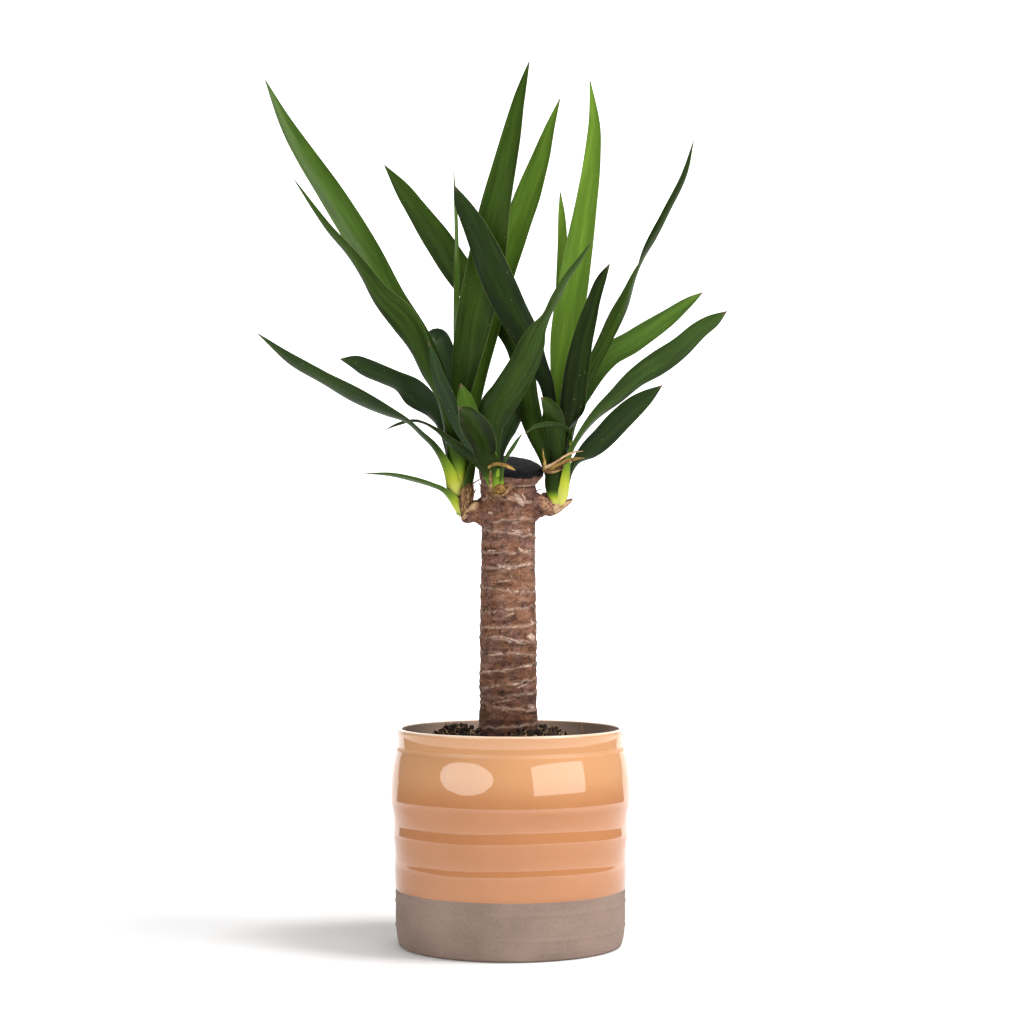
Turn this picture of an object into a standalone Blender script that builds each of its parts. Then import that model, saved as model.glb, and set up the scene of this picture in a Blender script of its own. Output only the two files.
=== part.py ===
"""Potted yucca: a sawn cane with three leafy shoots, in a nursery pot inside a glazed cover pot.

Frame: metres, +Z up. The origin is the middle of the cover pot's flat base, which stands on the
surface; the front of the plant faces -Y. All sizes below are in millimetres and are scaled by MM.
Every piece keeps CLEAR of its neighbours.
"""
import math

import bmesh
import bpy
import numpy as np
from mathutils import Matrix, Vector, noise

MM = 0.001
CLEAR = 0.3                     # gap kept between touching pieces

# cover pot: glazed stoneware, thrown on a wheel (radius, height)
POT_HEIGHT = 126.0
POT_WALL = 4.7
POT_FLOOR = 6.2
POT_OUTSIDE = [(62.6, 0.0), (64.6, 0.7), (65.7, 2.6), (66.4, 5.5), (66.8, 9.0), (67.2, 16.0),
               (67.2, 26.0), (67.4, 34.0), (67.6, 40.0), (67.9, 47.0), (67.65, 52.8), (67.8, 56.0),
               (68.5, 61.0), (68.85, 64.5), (68.7, 68.0), (68.55, 71.5), (68.8, 76.0),
               (69.3, 80.5), (70.0, 84.5), (70.25, 88.5), (70.1, 92.0), (69.6, 97.0),
               (68.85, 102.0), (67.8, 107.0), (66.6, 112.0), (66.1, 115.0), (66.05, 117.0),
               (66.2, 121.0), (66.7, 124.8), (66.0, POT_HEIGHT)]
POT_LIP = [(65.0, POT_HEIGHT + 0.2), (63.6, POT_HEIGHT - 0.2), (62.8, POT_HEIGHT - 1.6)]
POT_SEGMENTS = 64

# nursery pot: thin plastic, stands on the cover pot's floor (radius, height above its base)
NURSERY_BASE_RADIUS = 47.0
NURSERY_TOP_RADIUS = 57.6
NURSERY_LIP = 2.4
NURSERY_LIP_HEIGHT = 7.0
NURSERY_HEIGHT = 109.0
NURSERY_WALL = 1.3
DRAIN_HOLES = 6
DRAIN_RADIUS = 4.0
DRAIN_CIRCLE = 33.0

# potting mix: level at the pot's wall, at the cane, and four heaps (x, y, reach, rise)
SOIL_AT_WALL = 107.0
SOIL_AT_CANE = 121.5
SOIL_CURVE = 1.3                # above 1 the slope is steeper near the pot's wall
SOIL_ROUGH = 1.1
HEAPS = [(-33.0, -5.0, 12.0, 9.5), (24.0, -6.0, 10.0, 5.0), (7.0, -22.0, 8.0, 3.0),
         (4.0, 32.0, 14.0, 3.0)]

# cane: (height, radius), sawn off at a slant above the shoots
CANE_X = -1.3
CANE_FOOT = 40.0
CANE = [(CANE_FOOT, 16.8), (123.0, 16.8), (131.0, 17.2), (139.0, 16.5), (152.0, 16.9), (165.0, 16.3),
        (178.0, 16.8), (195.0, 16.1), (208.0, 16.3), (220.0, 15.7), (231.0, 16.0), (243.0, 15.6),
        (252.0, 16.1), (262.0, 16.3)]
CANE_TOP_RADIUS = 17.6
FLARE_HEIGHT = 272.2            # where the flared lip under the cut begins
FLARE_WAIST = 0.93              # width there, as a share of the cut's
LIP_RIGHT = 1.9                 # how much further the lip spreads to the right
LIP_FADE = 1.3                  # how fast that fades away round the cane
CUT_HEIGHT = 278.4              # on the cane's axis
CUT_FALL_RIGHT = 0.15           # slope of the saw cut towards +X
CUT_RISE_BACK = 0.30            # and towards +Y
WAX_THICK = 2.8
WAX_INSET = 0.2                 # between the seal's edge and the rim of the cut
BARK_ROUGH = 0.55               # how far the bark's bumps stand out
STUBS = [((-11.0, 0.0, 252.5), (-25.0, -1.0, 252.0), 7.4, 6.0),
         ((11.0, 0.0, 254.6), (23.4, -1.5, 254.8), 6.0, 4.7)]
STUB_ROUNDING = 1.2

# green cores of the three shoots: rows of (x, y, z, radius)
STEMS = {
    "left_stem": [(-28.8, -1.0, 250.5, 2.9), (-30.2, -1.0, 262.0, 3.2), (-31.6, -0.6, 272.0, 2.9),
                  (-31.2, -0.5, 286.0, 1.8)],
    "centre_stem": [(-7.0, -20.4, 263.5, 3.4), (-7.4, -20.6, 268.0, 3.1), (-9.0, -21.6, 278.0, 2.6),
                    (-11.0, -22.4, 284.0, 1.8)],
    "right_stem": [(28.0, -1.2, 257.0, 2.8), (28.7, -0.8, 266.0, 3.0), (29.4, -0.2, 277.0, 2.8),
                   (30.2, 0.6, 288.0, 1.8)],
}

# leaves: rows of (x, y, z, width, turn, curl). turn is the side of the shoot that the blade's back
# faces, in degrees: front 0, right 90, far side 180, left -90. curl is the angle its channel closes.
LEAVES = {
    "left_leaf_1": [
        (-33, -1, 251.5, 13, -90, 160), (-35, -2, 257, 12.5, -90, 140), (-39, -3, 262.5, 11, -85, 90),
        (-45, -5, 267, 10, -75, 50), (-55, -7, 270.5, 9.5, -72, 40), (-68, -9, 273.5, 7.5, -75, 40),
        (-85, -12, 274.5, 0.6, -80, 40)],
    "left_leaf_2": [
        (-35, -1, 262, 15, -90, 190), (-37.6, -1.5, 268.5, 15, -90, 170),
        (-39, -2, 276, 13.5, -85, 120), (-43, -3, 285, 12, -76, 60), (-52, -5, 296.5, 12, -76, 45),
        (-60, -7, 304, 12.5, -80, 45), (-71.5, -9, 309.5, 14, -66, 45),
        (-89.5, -12, 318.8, 15.5, -57, 45), (-108.8, -15, 329, 14, -60, 45),
        (-128.3, -18, 341, 9.5, -55, 45), (-146.2, -20, 355.2, 0.6, -50, 45)],
    "left_leaf_3": [
        (-36.4, 1.2, 280, 9, -90, 90), (-38.5, 2, 291, 10, -80, 80), (-42, 3.6, 303, 12, -60, 70),
        (-46.2, 5, 312, 15, -45, 50), (-57.4, 8, 322.6, 17, -20, 40), (-67.7, 11, 329.3, 15, -46, 50),
        (-76, 13, 333, 14, -40, 50), (-85.2, 15, 337.2, 13, -35, 45), (-92.2, 17, 341, 9.5, -30, 45),
        (-101.3, 19, 343.5, 0.6, -30, 45)],
    "left_leaf_4": [
        (-31.8, -6.8, 275, 10, -15, 90), (-34, -8.4, 291.7, 11, -45, 80),
        (-38.2, -10.4, 305.5, 11.5, -62, 60), (-42.6, -12, 319.2, 12, -68, 60),
        (-48, -15, 331.9, 14, -52, 60), (-54.2, -19, 347.9, 17, -40, 60),
        (-62.4, -23, 362.8, 18, -22, 60), (-75.5, -27, 376.1, 15.5, -42, 60),
        (-84.6, -30, 389, 13, -52, 60), (-92.7, -33, 400.4, 11, -62, 55),
        (-105.2, -36, 415.1, 8, -60, 50), (-123.3, -40, 441.3, 0.6, -60, 50)],
    "left_leaf_5": [
        (-33.5, 1.7, 285, 3.4, -140, 40), (-34.4, 4.4, 291, 5.2, -140, 40),
        (-38.8, 7.4, 312.3, 8.5, -145, 45), (-46.3, 8, 338.6, 14, -150, 50),
        (-55.4, 10, 355.9, 16, -155, 40), (-70.6, 12, 378.3, 18, -158, 40),
        (-86.5, 16, 407.5, 18.5, -158, 40), (-106.5, 20, 440.5, 17, -155, 40),
        (-121.9, 22, 463.6, 14.5, -150, 45), (-135, 23.5, 486, 9, -145, 45),
        (-146.6, 25, 510.9, 0.6, -145, 45)],
    "left_leaf_6": [
        (-32.4, 2.6, 281, 3.6, 180, 40), (-32.2, 9.6, 291, 6.5, 180, 40), (-35, 15, 312, 13, 180, 45),
        (-39, 25, 338, 16, 180, 45), (-44.5, 45, 357, 15, 180, 40), (-48, 68, 355, 10, 180, 40),
        (-51, 90, 343, 0.6, 180, 40)],
    "left_leaf_7": [
        (-30.6, 2.6, 292, 4.5, -110, 40), (-32, 5.5, 320, 7, -108, 45), (-32.6, 8, 348, 8, -108, 45),
        (-32.5, 9, 381, 8, -110, 45), (-32.5, 10, 411.3, 7, -110, 45), (-32.9, 11, 433, 4.5, -110, 45),
        (-33.7, 12, 455.4, 0.6, -110, 45)],
    "left_leaf_8": [
        (-25, -0.8, 266, 12.5, 95, 150), (-23.8, -0.6, 281, 10, 105, 100), (-26, -2, 300, 11, 130, 80),
        (-28, -3, 318, 13, 150, 50), (-25.6, -4, 340, 17.5, 165, 40), (-20.8, -4.6, 366, 21.5, 174, 35),
        (-13.8, -5.4, 399, 22.5, 174, 35), (-9.4, -5.6, 426.5, 19, 170, 35),
        (-2.5, -6, 458, 14.5, 162, 40), (2, -5, 479.5, 10.5, 160, 40), (6.5, -4, 499, 6.5, 160, 40),
        (11, -3, 516.4, 0.6, 160, 40)],
    "left_leaf_9": [
        (-27, 5.4, 290, 6.5, 165, 40), (-23.5, 7, 312, 10, 168, 45), (-15.5, 9, 350, 13, 170, 45),
        (-5.8, 12, 390.4, 15.5, 172, 40), (3.7, 14, 421, 16.5, 172, 40),
        (10.1, 15, 439.7, 15.5, 172, 40), (17.2, 16, 460.6, 11.5, 170, 45),
        (24.1, 17, 483, 5.5, 170, 45), (29.4, 18, 498.4, 0.6, 170, 45)],
    "centre_leaf_1": [
        (-12.2, -21.4, 265.5, 7, -80, 90), (-15.6, -21.6, 273.5, 7.5, -70, 80),
        (-20.5, -20.2, 281, 7.6, -50, 70), (-27.6, -18, 286.5, 9, -48, 60),
        (-35.6, -16.5, 292.8, 8, -58, 60), (-43.7, -9, 299.8, 6, -78, 60),
        (-49.9, -4, 303.6, 5, -84, 50), (-57.1, 2, 305.5, 4, -75, 50), (-66.3, 6, 303.8, 3, -60, 50),
        (-73.5, 9, 301, 0.5, -60, 50)],
    "centre_leaf_2": [
        (-5.3, -23.7, 275.5, 4.2, 45, 60), (-4.6, -25.2, 279.1, 5.2, 45, 70),
        (-2.4, -28, 283.5, 5.5, 50, 70), (0.8, -31, 288.2, 4.5, 55, 60), (3.1, -34, 291.5, 3, 60, 60),
        (6.6, -37, 296.2, 0.5, 60, 60)],
    "centre_leaf_3": [
        (-11.2, -26.4, 274, 8, -5, 90), (-12.6, -27.8, 279.1, 11, -8, 80),
        (-14.6, -30, 283.9, 13, -10, 70), (-15.4, -33, 288.6, 15.5, -10, 60),
        (-16.8, -39, 293.3, 17, -10, 50), (-19, -47, 297.7, 17, -12, 45),
        (-21.8, -57, 302, 14.5, -14, 45), (-24.7, -67, 306.3, 9.5, -16, 45),
        (-28.8, -78, 309, 0.6, -16, 45)],
    "centre_leaf_4": [
        (-12.3, -27.2, 288, 3.6, -20, 40), (-19.4, -30.4, 298.8, 9.5, -18, 50),
        (-25, -32, 311.6, 11, -15, 50), (-26.6, -33, 318, 8.5, -15, 50),
        (-28.5, -34, 325.4, 0.6, -15, 50)],
    "centre_leaf_5": [
        (-16.4, -24.2, 284, 5, -35, 50), (-22.6, -25, 290, 7, -30, 60),
        (-28.5, -25.6, 298.8, 8.5, -30, 60), (-32.9, -26, 308.5, 9.5, -32, 60),
        (-36.8, -27, 318.3, 9.5, -30, 60), (-41.1, -29, 328, 8.5, -30, 60),
        (-44, -31, 338.6, 6, -35, 60), (-46.9, -33, 349.2, 0.6, -40, 60)],
    "centre_leaf_6": [
        (-8.2, -19.4, 284, 7, 30, 60), (-5.2, -17.5, 293, 12, 35, 60), (-0.8, -11.5, 302, 13.5, 40, 50),
        (4, -2, 309.5, 11.5, 45, 45), (9, 5, 316.5, 7, 45, 45), (14, 9.5, 322, 0.6, 45, 45)],
    "centre_leaf_7": [
        (-9.7, -24.9, 282.4, 3, 10, 40), (-9.4, -26, 287, 6.5, 10, 60), (-11, -27, 298.7, 14.5, 10, 60),
        (-7.8, -30, 311.3, 20, 8, 60), (-2.6, -33, 317.9, 19, 10, 50), (5.6, -38, 331.2, 17.5, 12, 45),
        (9.7, -41, 338.8, 17, 15, 45), (14, -44, 348.2, 16, 28, 45), (17, -46, 355.8, 14.5, 48, 45),
        (19.8, -48, 360.9, 13, 58, 45), (26, -51, 372.6, 10.5, 63, 45), (30.9, -54, 381.9, 8.5, 62, 45),
        (39.3, -57, 393.6, 5, 60, 45), (46.1, -60, 403.9, 0.6, 60, 45)],
    "right_leaf_1": [
        (33, 0, 266, 9, 90, 110), (35, 0.6, 273.5, 8, 84, 80), (39, 0, 281, 9.5, 62, 60),
        (46.4, -2.6, 287.8, 13.5, 35, 45), (54.4, -6, 295.2, 15, 28, 40), (64.1, -8, 305.6, 15, 25, 40),
        (74.3, -10, 314.9, 12.5, 22, 40), (79.4, -11, 318.8, 9.5, 22, 40),
        (88.2, -13, 325.7, 0.6, 22, 40)],
    "right_leaf_2": [
        (25, -5.6, 262, 11, -32, 120), (26.4, -7.4, 272, 9.5, -15, 80), (27.2, -9.4, 284.7, 9, 0, 80),
        (26.6, -11, 291.6, 11.5, 5, 65), (25.7, -14.6, 299.3, 13, 8, 60), (24.7, -19, 306, 13, 10, 50),
        (23.1, -25, 311.1, 10, 12, 50), (20, -31, 315.1, 5.5, 12, 50), (17.5, -36, 317.2, 0.6, 12, 50)],
    "right_leaf_3": [
        (32.8, -9.8, 290, 3.4, -50, 50), (34, -14, 295.3, 5, -50, 60), (30.6, -20, 298.5, 6, -50, 60),
        (23.5, -26, 299.3, 5.5, -50, 60), (15.7, -30, 298.4, 5, -50, 60),
        (11.5, -32, 297.3, 3, -50, 60), (8.4, -33, 296.7, 0.5, -50, 60)],
    "right_leaf_4": [
        (22.2, -1.6, 271, 7.5, -60, 80), (19.4, -4.2, 283, 9, -40, 70), (14.5, -7.5, 297, 12, -20, 60),
        (12.2, -8, 305, 13.5, -18, 50), (9.3, -4, 321.5, 13.5, -18, 45), (7.6, 2, 335, 14, -18, 45),
        (4.5, 5, 350, 15.5, -18, 40), (-4.7, 10, 365.4, 16.5, -15, 40),
        (-20.2, 16, 381.7, 17.5, -10, 40), (-33.5, 20, 399.4, 18, -10, 40),
        (-44.2, 23, 415.5, 17, -10, 40), (-56.5, 26, 433.7, 12.5, -10, 40),
        (-64.3, 28, 445.2, 9.5, -10, 45), (-75.6, 30, 460.8, 0.6, -10, 45)],
    "right_leaf_5": [
        (32.4, -5.6, 262, 7, 45, 60), (33, -7, 274, 6.5, 50, 60), (34, -7.8, 283, 6, 60, 60),
        (42.3, -7, 298.7, 8, 62, 60), (49.6, -9, 307.7, 10, 58, 50), (62.1, -12, 319, 13, 48, 45),
        (73.3, -15, 329.2, 15, 40, 45), (85.5, -17, 337.7, 16, 30, 40), (97.7, -19, 346.1, 15, 33, 40),
        (111.1, -20, 358.2, 11.5, 32, 40), (118, -21, 362.7, 8.5, 30, 40),
        (124.9, -22, 367.8, 0.6, 30, 40)],
    "right_leaf_6": [
        (31.8, -4.6, 287, 4.5, 50, 50), (32.8, -6, 294, 6.5, 62, 60), (33.4, -8, 300, 8.5, 58, 60),
        (34.8, -9.5, 306, 12, 35, 50), (36, -11, 311.5, 15, 18, 40), (37.4, -14, 324, 15.5, 18, 40),
        (39.4, -17, 336.7, 15.5, 20, 40), (41.7, -20, 348.5, 14.5, 26, 40),
        (45.7, -23, 364.8, 12, 32, 40), (48.1, -25, 373.4, 9.5, 34, 40), (52.9, -27, 386.9, 6, 38, 40),
        (57, -29, 394.5, 0.6, 40, 40)],
    "right_leaf_7": [
        (32.2, 2.9, 281, 3.4, 130, 40), (33.6, 5.8, 287.5, 6, 130, 40), (37, 9, 305, 9, 135, 50),
        (43.5, 13.5, 321.5, 12, 142, 50), (51, 16, 335.5, 14.5, 150, 45),
        (60, 18.2, 346, 15.5, 155, 40), (72.3, 19, 353.1, 15.5, 156, 40),
        (78.4, 19.4, 357.1, 15, 156, 40), (93.5, 21, 367.7, 11.5, 155, 40),
        (108.7, 22, 379.3, 5.5, 150, 40), (114.5, 23, 383.5, 0.6, 150, 40)],
    "right_leaf_8": [
        (33, 0.3, 284, 3.4, 80, 40), (34.8, 0.6, 290, 5, 80, 50), (39.4, 1.6, 312, 8, 60, 50),
        (47, 2.6, 334, 11, 50, 50), (55.2, 3.6, 350.5, 13, 48, 50), (62.7, 4.6, 366.1, 14, 50, 45),
        (68.5, 6, 378.1, 13.5, 62, 45), (74.1, 6, 392.2, 13, 80, 45), (81.1, 6, 407.2, 12.5, 108, 45),
        (92.2, 5, 428.3, 11, 112, 45), (102.2, 4, 449.2, 8, 115, 45), (107.9, 3, 471, 0.6, 115, 45)],
    "right_leaf_9": [
        (27.6, -2, 290, 5.5, -30, 50), (26, -2.2, 305, 7, -20, 50), (22.9, -3.2, 318, 7.6, -12, 45),
        (20.6, -4.8, 328, 9, -8, 45), (14.8, -5.6, 340, 13, -6, 45), (9.1, -8, 354.3, 16.5, -5, 40),
        (0, -12, 370.8, 18.5, -2, 38), (-7.3, -14, 386.4, 19, -2, 38), (-16.8, -16, 408, 16.5, -15, 40),
        (-24.2, -17, 423.6, 12, -15, 40), (-28.9, -18, 432.4, 8, -15, 40),
        (-32.5, -19, 441.1, 0.6, -15, 40)],
    "right_leaf_10": [
        (29.6, 3.4, 284, 3.4, 180, 40), (29, 6.2, 291, 5.6, 180, 40), (28.1, 7.4, 318, 7.5, 180, 50),
        (29.2, 10, 335.7, 12, 180, 50), (31.3, 13, 351.1, 16, 180, 40),
        (34.9, 16, 373.6, 18.5, 180, 40), (39.5, 18, 402.2, 17.5, 180, 40),
        (45.1, 20, 435.9, 13, 180, 40), (48.7, 21, 463.4, 10.5, 180, 40), (50, 22, 483.9, 7, 180, 40),
        (49.1, 22, 496.1, 4, 180, 40), (47.5, 23, 510.2, 0.6, 180, 40)],
    "right_leaf_11": [
        (29.6, 4.2, 279, 3, 175, 40), (29.3, 8.8, 288, 3.2, 175, 40), (30.7, 12, 297, 4.6, 165, 40),
        (31, 19, 335, 7.5, 160, 45), (31, 24, 375, 8.5, 160, 50), (31.4, 28, 414.6, 6.5, 160, 50),
        (30.6, 30, 432.2, 4, 160, 50), (29.9, 32, 444.8, 0.6, 160, 50)],
    "left_leaf_10": [
        (-30.4, 3, 279.6, 3.2, 170, 40), (-29.1, 10.5, 288, 7, 168, 50), (-27.5, 22, 300, 11, 165, 50),
        (-26.5, 45, 323, 11, 170, 45), (-27, 78, 333, 0.6, 175, 45)],
    "right_leaf_12": [
        (29.3, 3.4, 270, 4, 185, 50), (29.8, 7.4, 279, 6, 185, 50), (32, 20, 300, 11, 185, 50),
        (36, 42, 322, 12, 180, 45), (38, 75, 336, 0.6, 180, 45)],
}

# dry sheaths at the feet of the shoots, in the same form
SHEATHS = {
    "left_sheath": [(-23.0, -1.0, 259.6, 13.5, 88, 140), (-22.4, -1.0, 262.5, 12.0, 88, 130),
                    (-22.6, -1.0, 265.5, 8.5, 88, 110), (-23.1, -1.0, 267.5, 3.5, 88, 90)],
    "right_sheath": [(25.2, -1.2, 250.6, 9.0, 70, 150), (28.4, -1.5, 252.3, 12.0, 72, 150),
                     (31.8, -1.8, 255.2, 11.0, 75, 130), (34.2, -2.0, 258.2, 6.0, 80, 110),
                     (36.6, -2.2, 260.4, 0.6, 80, 90)],
    "right_dry_leaf": [(20.4, -9.8, 277.2, 3.4, 60, 50), (24.5, -11.4, 278.4, 4.2, 45, 50),
                       (29.0, -11.8, 280.6, 4.0, 45, 50), (35.0, -11.3, 282.4, 2.6, 50, 50),
                       (42.5, -10.4, 283.2, 0.5, 50, 50)],
}
LEAF_RINGS = 12
LEAF_COLUMNS = 4
LEAF_THICK = 1.0                # at the midrib
LEAF_EDGE = 0.5


# ---------------------------------------------------------------- helpers

def clear_scene():
    """Remove every object that the file holds."""
    for thing in list(bpy.data.objects):
        bpy.data.objects.remove(thing)


def material(name, colour, roughness, metallic=0.0):
    """A plain Principled material."""
    made = bpy.data.materials.new(name)
    made.use_nodes = True
    shader = made.node_tree.nodes["Principled BSDF"]
    shader.inputs["Base Color"].default_value = (*colour, 1.0)
    shader.inputs["Roughness"].default_value = roughness
    shader.inputs["Metallic"].default_value = metallic
    return made


def add_object(name, bm, mat, sharp=50.0):
    """Turn a bmesh in millimetres into one named object with smooth shading."""
    bmesh.ops.recalc_face_normals(bm, faces=bm.faces)
    bmesh.ops.scale(bm, vec=(MM, MM, MM), verts=bm.verts)
    mesh = bpy.data.meshes.new(name)
    bm.to_mesh(mesh)
    bm.free()
    mesh.shade_smooth()
    mesh.set_sharp_from_angle(angle=math.radians(sharp))
    made = bpy.data.objects.new(name, mesh)
    bpy.context.collection.objects.link(made)
    mesh.materials.append(mat)
    return made


def loft(rings):
    """A closed body through rings of equal length, with a cap at each end."""
    bm = bmesh.new()
    loops = [[bm.verts.new(point) for point in ring] for ring in rings]
    for lower, upper in zip(loops, loops[1:]):
        count = len(lower)
        for i in range(count):
            j = (i + 1) % count
            bm.faces.new((lower[i], lower[j], upper[j], upper[i]))
    bm.faces.new(loops[0][::-1])
    bm.faces.new(loops[-1])
    return bm


def turned(profile, segments):
    """A closed profile of (radius, height), first and last on the axis, spun about Z."""
    bm = bmesh.new()
    points = [bm.verts.new((radius, 0.0, height)) for radius, height in profile]
    edges = [bm.edges.new(pair) for pair in zip(points, points[1:])]
    bmesh.ops.spin(bm, geom=points + edges, cent=(0, 0, 0), axis=(0, 0, 1), angle=math.tau,
                   steps=segments, use_merge=True)
    bmesh.ops.remove_doubles(bm, verts=bm.verts, dist=0.001)
    return bm


def along(rows, fractions):
    """Read rows (x, y, z, ...) of a smooth line at fractions of its length."""
    rows = np.array(rows, dtype=float)
    steps = np.linalg.norm(np.diff(rows[:, :3], axis=0), axis=1)
    station = np.concatenate(([0.0], np.cumsum(steps)))
    rate = np.diff(rows, axis=0) / steps[:, None]
    slope = np.zeros_like(rows)
    slope[0], slope[-1] = rate[0], rate[-1]
    for i in range(1, len(rows) - 1):
        before, after = steps[i - 1], steps[i]
        slope[i] = (rate[i - 1] * after + rate[i] * before) / (before + after)
    at = np.asarray(fractions) * station[-1]
    index = np.clip(np.searchsorted(station, at, side="right") - 1, 0, len(steps) - 1)
    span = steps[index][:, None]
    t = (at - station[index])[:, None] / span
    return ((1 + 2 * t) * (1 - t) ** 2 * rows[index] + t * (1 - t) ** 2 * span * slope[index]
            + t * t * (3 - 2 * t) * rows[index + 1] + t * t * (t - 1) * span * slope[index + 1])


def unit(vector):
    return vector / np.linalg.norm(vector)


# ---------------------------------------------------------------- leaves

def leaf_rings(rows, count, columns):
    """Rings round a channelled blade that follows its rows."""
    fractions = np.linspace(0.0, 1.0, count)
    here = along(rows, fractions)
    ahead = along(rows, np.clip(fractions + 0.001, 0.0, 1.0))[:, :3]
    behind = along(rows, np.clip(fractions - 0.001, 0.0, 1.0))[:, :3]
    back = np.array((0.0, 1.0, 0.0))
    rings = []
    for row, forward in zip(here, ahead - behind):
        forward = unit(forward)
        side = unit(np.array((forward[2], 0.0, -forward[0])))
        turn = math.radians(row[4])
        across = math.cos(turn) * side + math.sin(turn) * back
        across = unit(across - forward * across.dot(forward))
        inward = np.cross(forward, across)
        width = max(row[3], 0.3)
        bend = math.radians(row[5]) / width
        inner, outer = [], []
        for place in np.linspace(-0.5, 0.5, columns) * width:
            angle = bend * place
            centre = (row[:3] + across * math.sin(angle) / bend
                      + inward * (1 - math.cos(angle)) / bend)
            normal = inward * math.cos(angle) - across * math.sin(angle)
            thick = LEAF_EDGE + (LEAF_THICK - LEAF_EDGE) * (1 - (2 * place / width) ** 2)
            thick *= min(1.0, 0.35 + width / 8)
            inner.append(centre + normal * thick / 2)
            outer.append(centre - normal * thick / 2)
        rings.append(inner + outer[::-1])
    return rings


def add_leaf(name, rows, mat, count=LEAF_RINGS, columns=LEAF_COLUMNS):
    """One blade as a thin closed body."""
    return add_object(name, loft(leaf_rings(rows, count, columns)), mat, sharp=70.0)


def add_stem(name, rows, mat, sides=12, count=5):
    """The round green core of a shoot."""
    here = along(rows, np.linspace(0.0, 1.0, count))
    rings = []
    for x, y, z, radius in here:
        angles = [math.tau * i / sides for i in range(sides)]
        rings.append([(x + radius * math.cos(a), y + radius * math.sin(a), z) for a in angles])
    return add_object(name, loft(rings), mat)


# ---------------------------------------------------------------- cane and seal

def cane_radius(height):
    heights, radii = zip(*CANE)
    return float(np.interp(height, heights + (CUT_HEIGHT,), radii + (CANE_TOP_RADIUS,)))


def cut_height(x, y):
    """Height of the slanted saw cut at a point."""
    return CUT_HEIGHT - CUT_FALL_RIGHT * (x - CANE_X) + CUT_RISE_BACK * y


def lip_spread(angle):
    """How far the lip under the cut stands out beyond a round one."""
    return LIP_RIGHT * max(0.0, math.cos(angle)) ** LIP_FADE


def cane_point(angle, height, radius):
    """A point on the knobbly bark, which is plain below the potting mix."""
    rough = BARK_ROUGH * min(1.0, max(0.0, (height - SOIL_AT_CANE - 2.0) / 8.0))
    spot = Vector((math.cos(angle) * 1.6, math.sin(angle) * 1.6, height / 11.0))
    radius += rough * noise.noise(spot)
    return (CANE_X + radius * math.cos(angle), radius * math.sin(angle), height)


def build_cane(mat, segments=28):
    """The cane with the stubs that carry its side shoots, as one body."""
    rings = []
    for height, _ in CANE:
        radius = cane_radius(height)
        rings.append([cane_point(math.tau * i / segments, height, radius) for i in range(segments)])
    top = []
    for i in range(segments):
        angle = math.tau * i / segments
        x, y, _ = cane_point(angle, CUT_HEIGHT, CANE_TOP_RADIUS + lip_spread(angle))
        top.append((x, y, cut_height(x, y)))
    rings.append([(CANE_X + FLARE_WAIST * (x - CANE_X), FLARE_WAIST * y,
                   FLARE_HEIGHT + (z - CUT_HEIGHT) / 2) for x, y, z in top])
    rings.append(top)
    cane = add_object("cane", loft(rings), mat, sharp=40.0)
    for number, (start, end, wide, narrow) in enumerate(STUBS):
        stub = build_stub(start, end, wide, narrow, mat)
        union = cane.modifiers.new(f"stub_{number}", "BOOLEAN")
        union.operation = "UNION"
        union.object = stub
    return cane


def build_stub(start, end, wide, narrow, mat, sides=14):
    """A short side branch, used only to be joined to the cane."""
    start, end = Vector(start), Vector(end)
    axis = (end - start).normalized()
    up = Vector((0.0, 0.0, 1.0))
    side = axis.cross(up).normalized()
    up = side.cross(axis)
    rings = []
    for share, radius in ((0.0, wide), (0.35, (wide + narrow) / 2), (0.7, narrow), (0.94, narrow),
                          (1.0, narrow - STUB_ROUNDING)):
        centre = start.lerp(end, share)
        angles = [math.tau * i / sides for i in range(sides)]
        rings.append([centre + side * radius * math.cos(a) + up * radius * math.sin(a)
                      for a in angles])
    stub = add_object("stub", loft(rings), mat)
    stub.hide_render = True
    stub.display_type = "WIRE"
    return stub


def build_wax_seal(mat, segments=28):
    """The black seal on the saw cut: a thin domed disc that follows the slope."""
    shape = [(0.0, 0.0), (0.97, 0.0), (1.0, 0.35), (0.97, 0.8), (0.86, 1.0), (0.45, 1.08), (0.0, 1.1)]
    bm = bmesh.new()
    points = []
    for reach, lift in shape:
        count = 1 if reach == 0.0 else segments
        ring = []
        for i in range(count):
            angle = math.tau * i / segments
            radius = reach * (CANE_TOP_RADIUS + lip_spread(angle) - WAX_INSET)
            x, y = CANE_X + radius * math.cos(angle), radius * math.sin(angle)
            ring.append(bm.verts.new((x, y, cut_height(x, y) + CLEAR + lift * WAX_THICK)))
        points.append(ring)
    for lower, upper in zip(points, points[1:]):
        for i in range(segments):
            j = (i + 1) % segments
            corners = [lower[i % len(lower)], lower[j % len(lower)],
                       upper[j % len(upper)], upper[i % len(upper)]]
            corners = list(dict.fromkeys(corners))
            bm.faces.new(corners)
    return add_object("wax_seal", bm, mat, sharp=60.0)


# ---------------------------------------------------------------- pots and potting mix

def build_cover_pot(mat):
    """The cover pot, one wall thick, with a rounded lip and a flat base."""
    inside = []
    for radius, height in POT_OUTSIDE[::-1]:
        if 12.0 < height < POT_HEIGHT - 4.0:
            inside.append((radius - POT_WALL, height))
    floor = [(62.0, POT_FLOOR + 3.0), (59.0, POT_FLOOR), (0.0, POT_FLOOR)]
    profile = [(0.0, 0.0)] + POT_OUTSIDE + POT_LIP + inside + floor
    return add_object("cover_pot", turned(profile, POT_SEGMENTS), mat, sharp=60.0)


def nursery_radius(height):
    """Outer radius of the nursery pot's tapered wall, at a height above its base."""
    return NURSERY_BASE_RADIUS + (NURSERY_TOP_RADIUS - NURSERY_BASE_RADIUS) * height / NURSERY_HEIGHT


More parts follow.
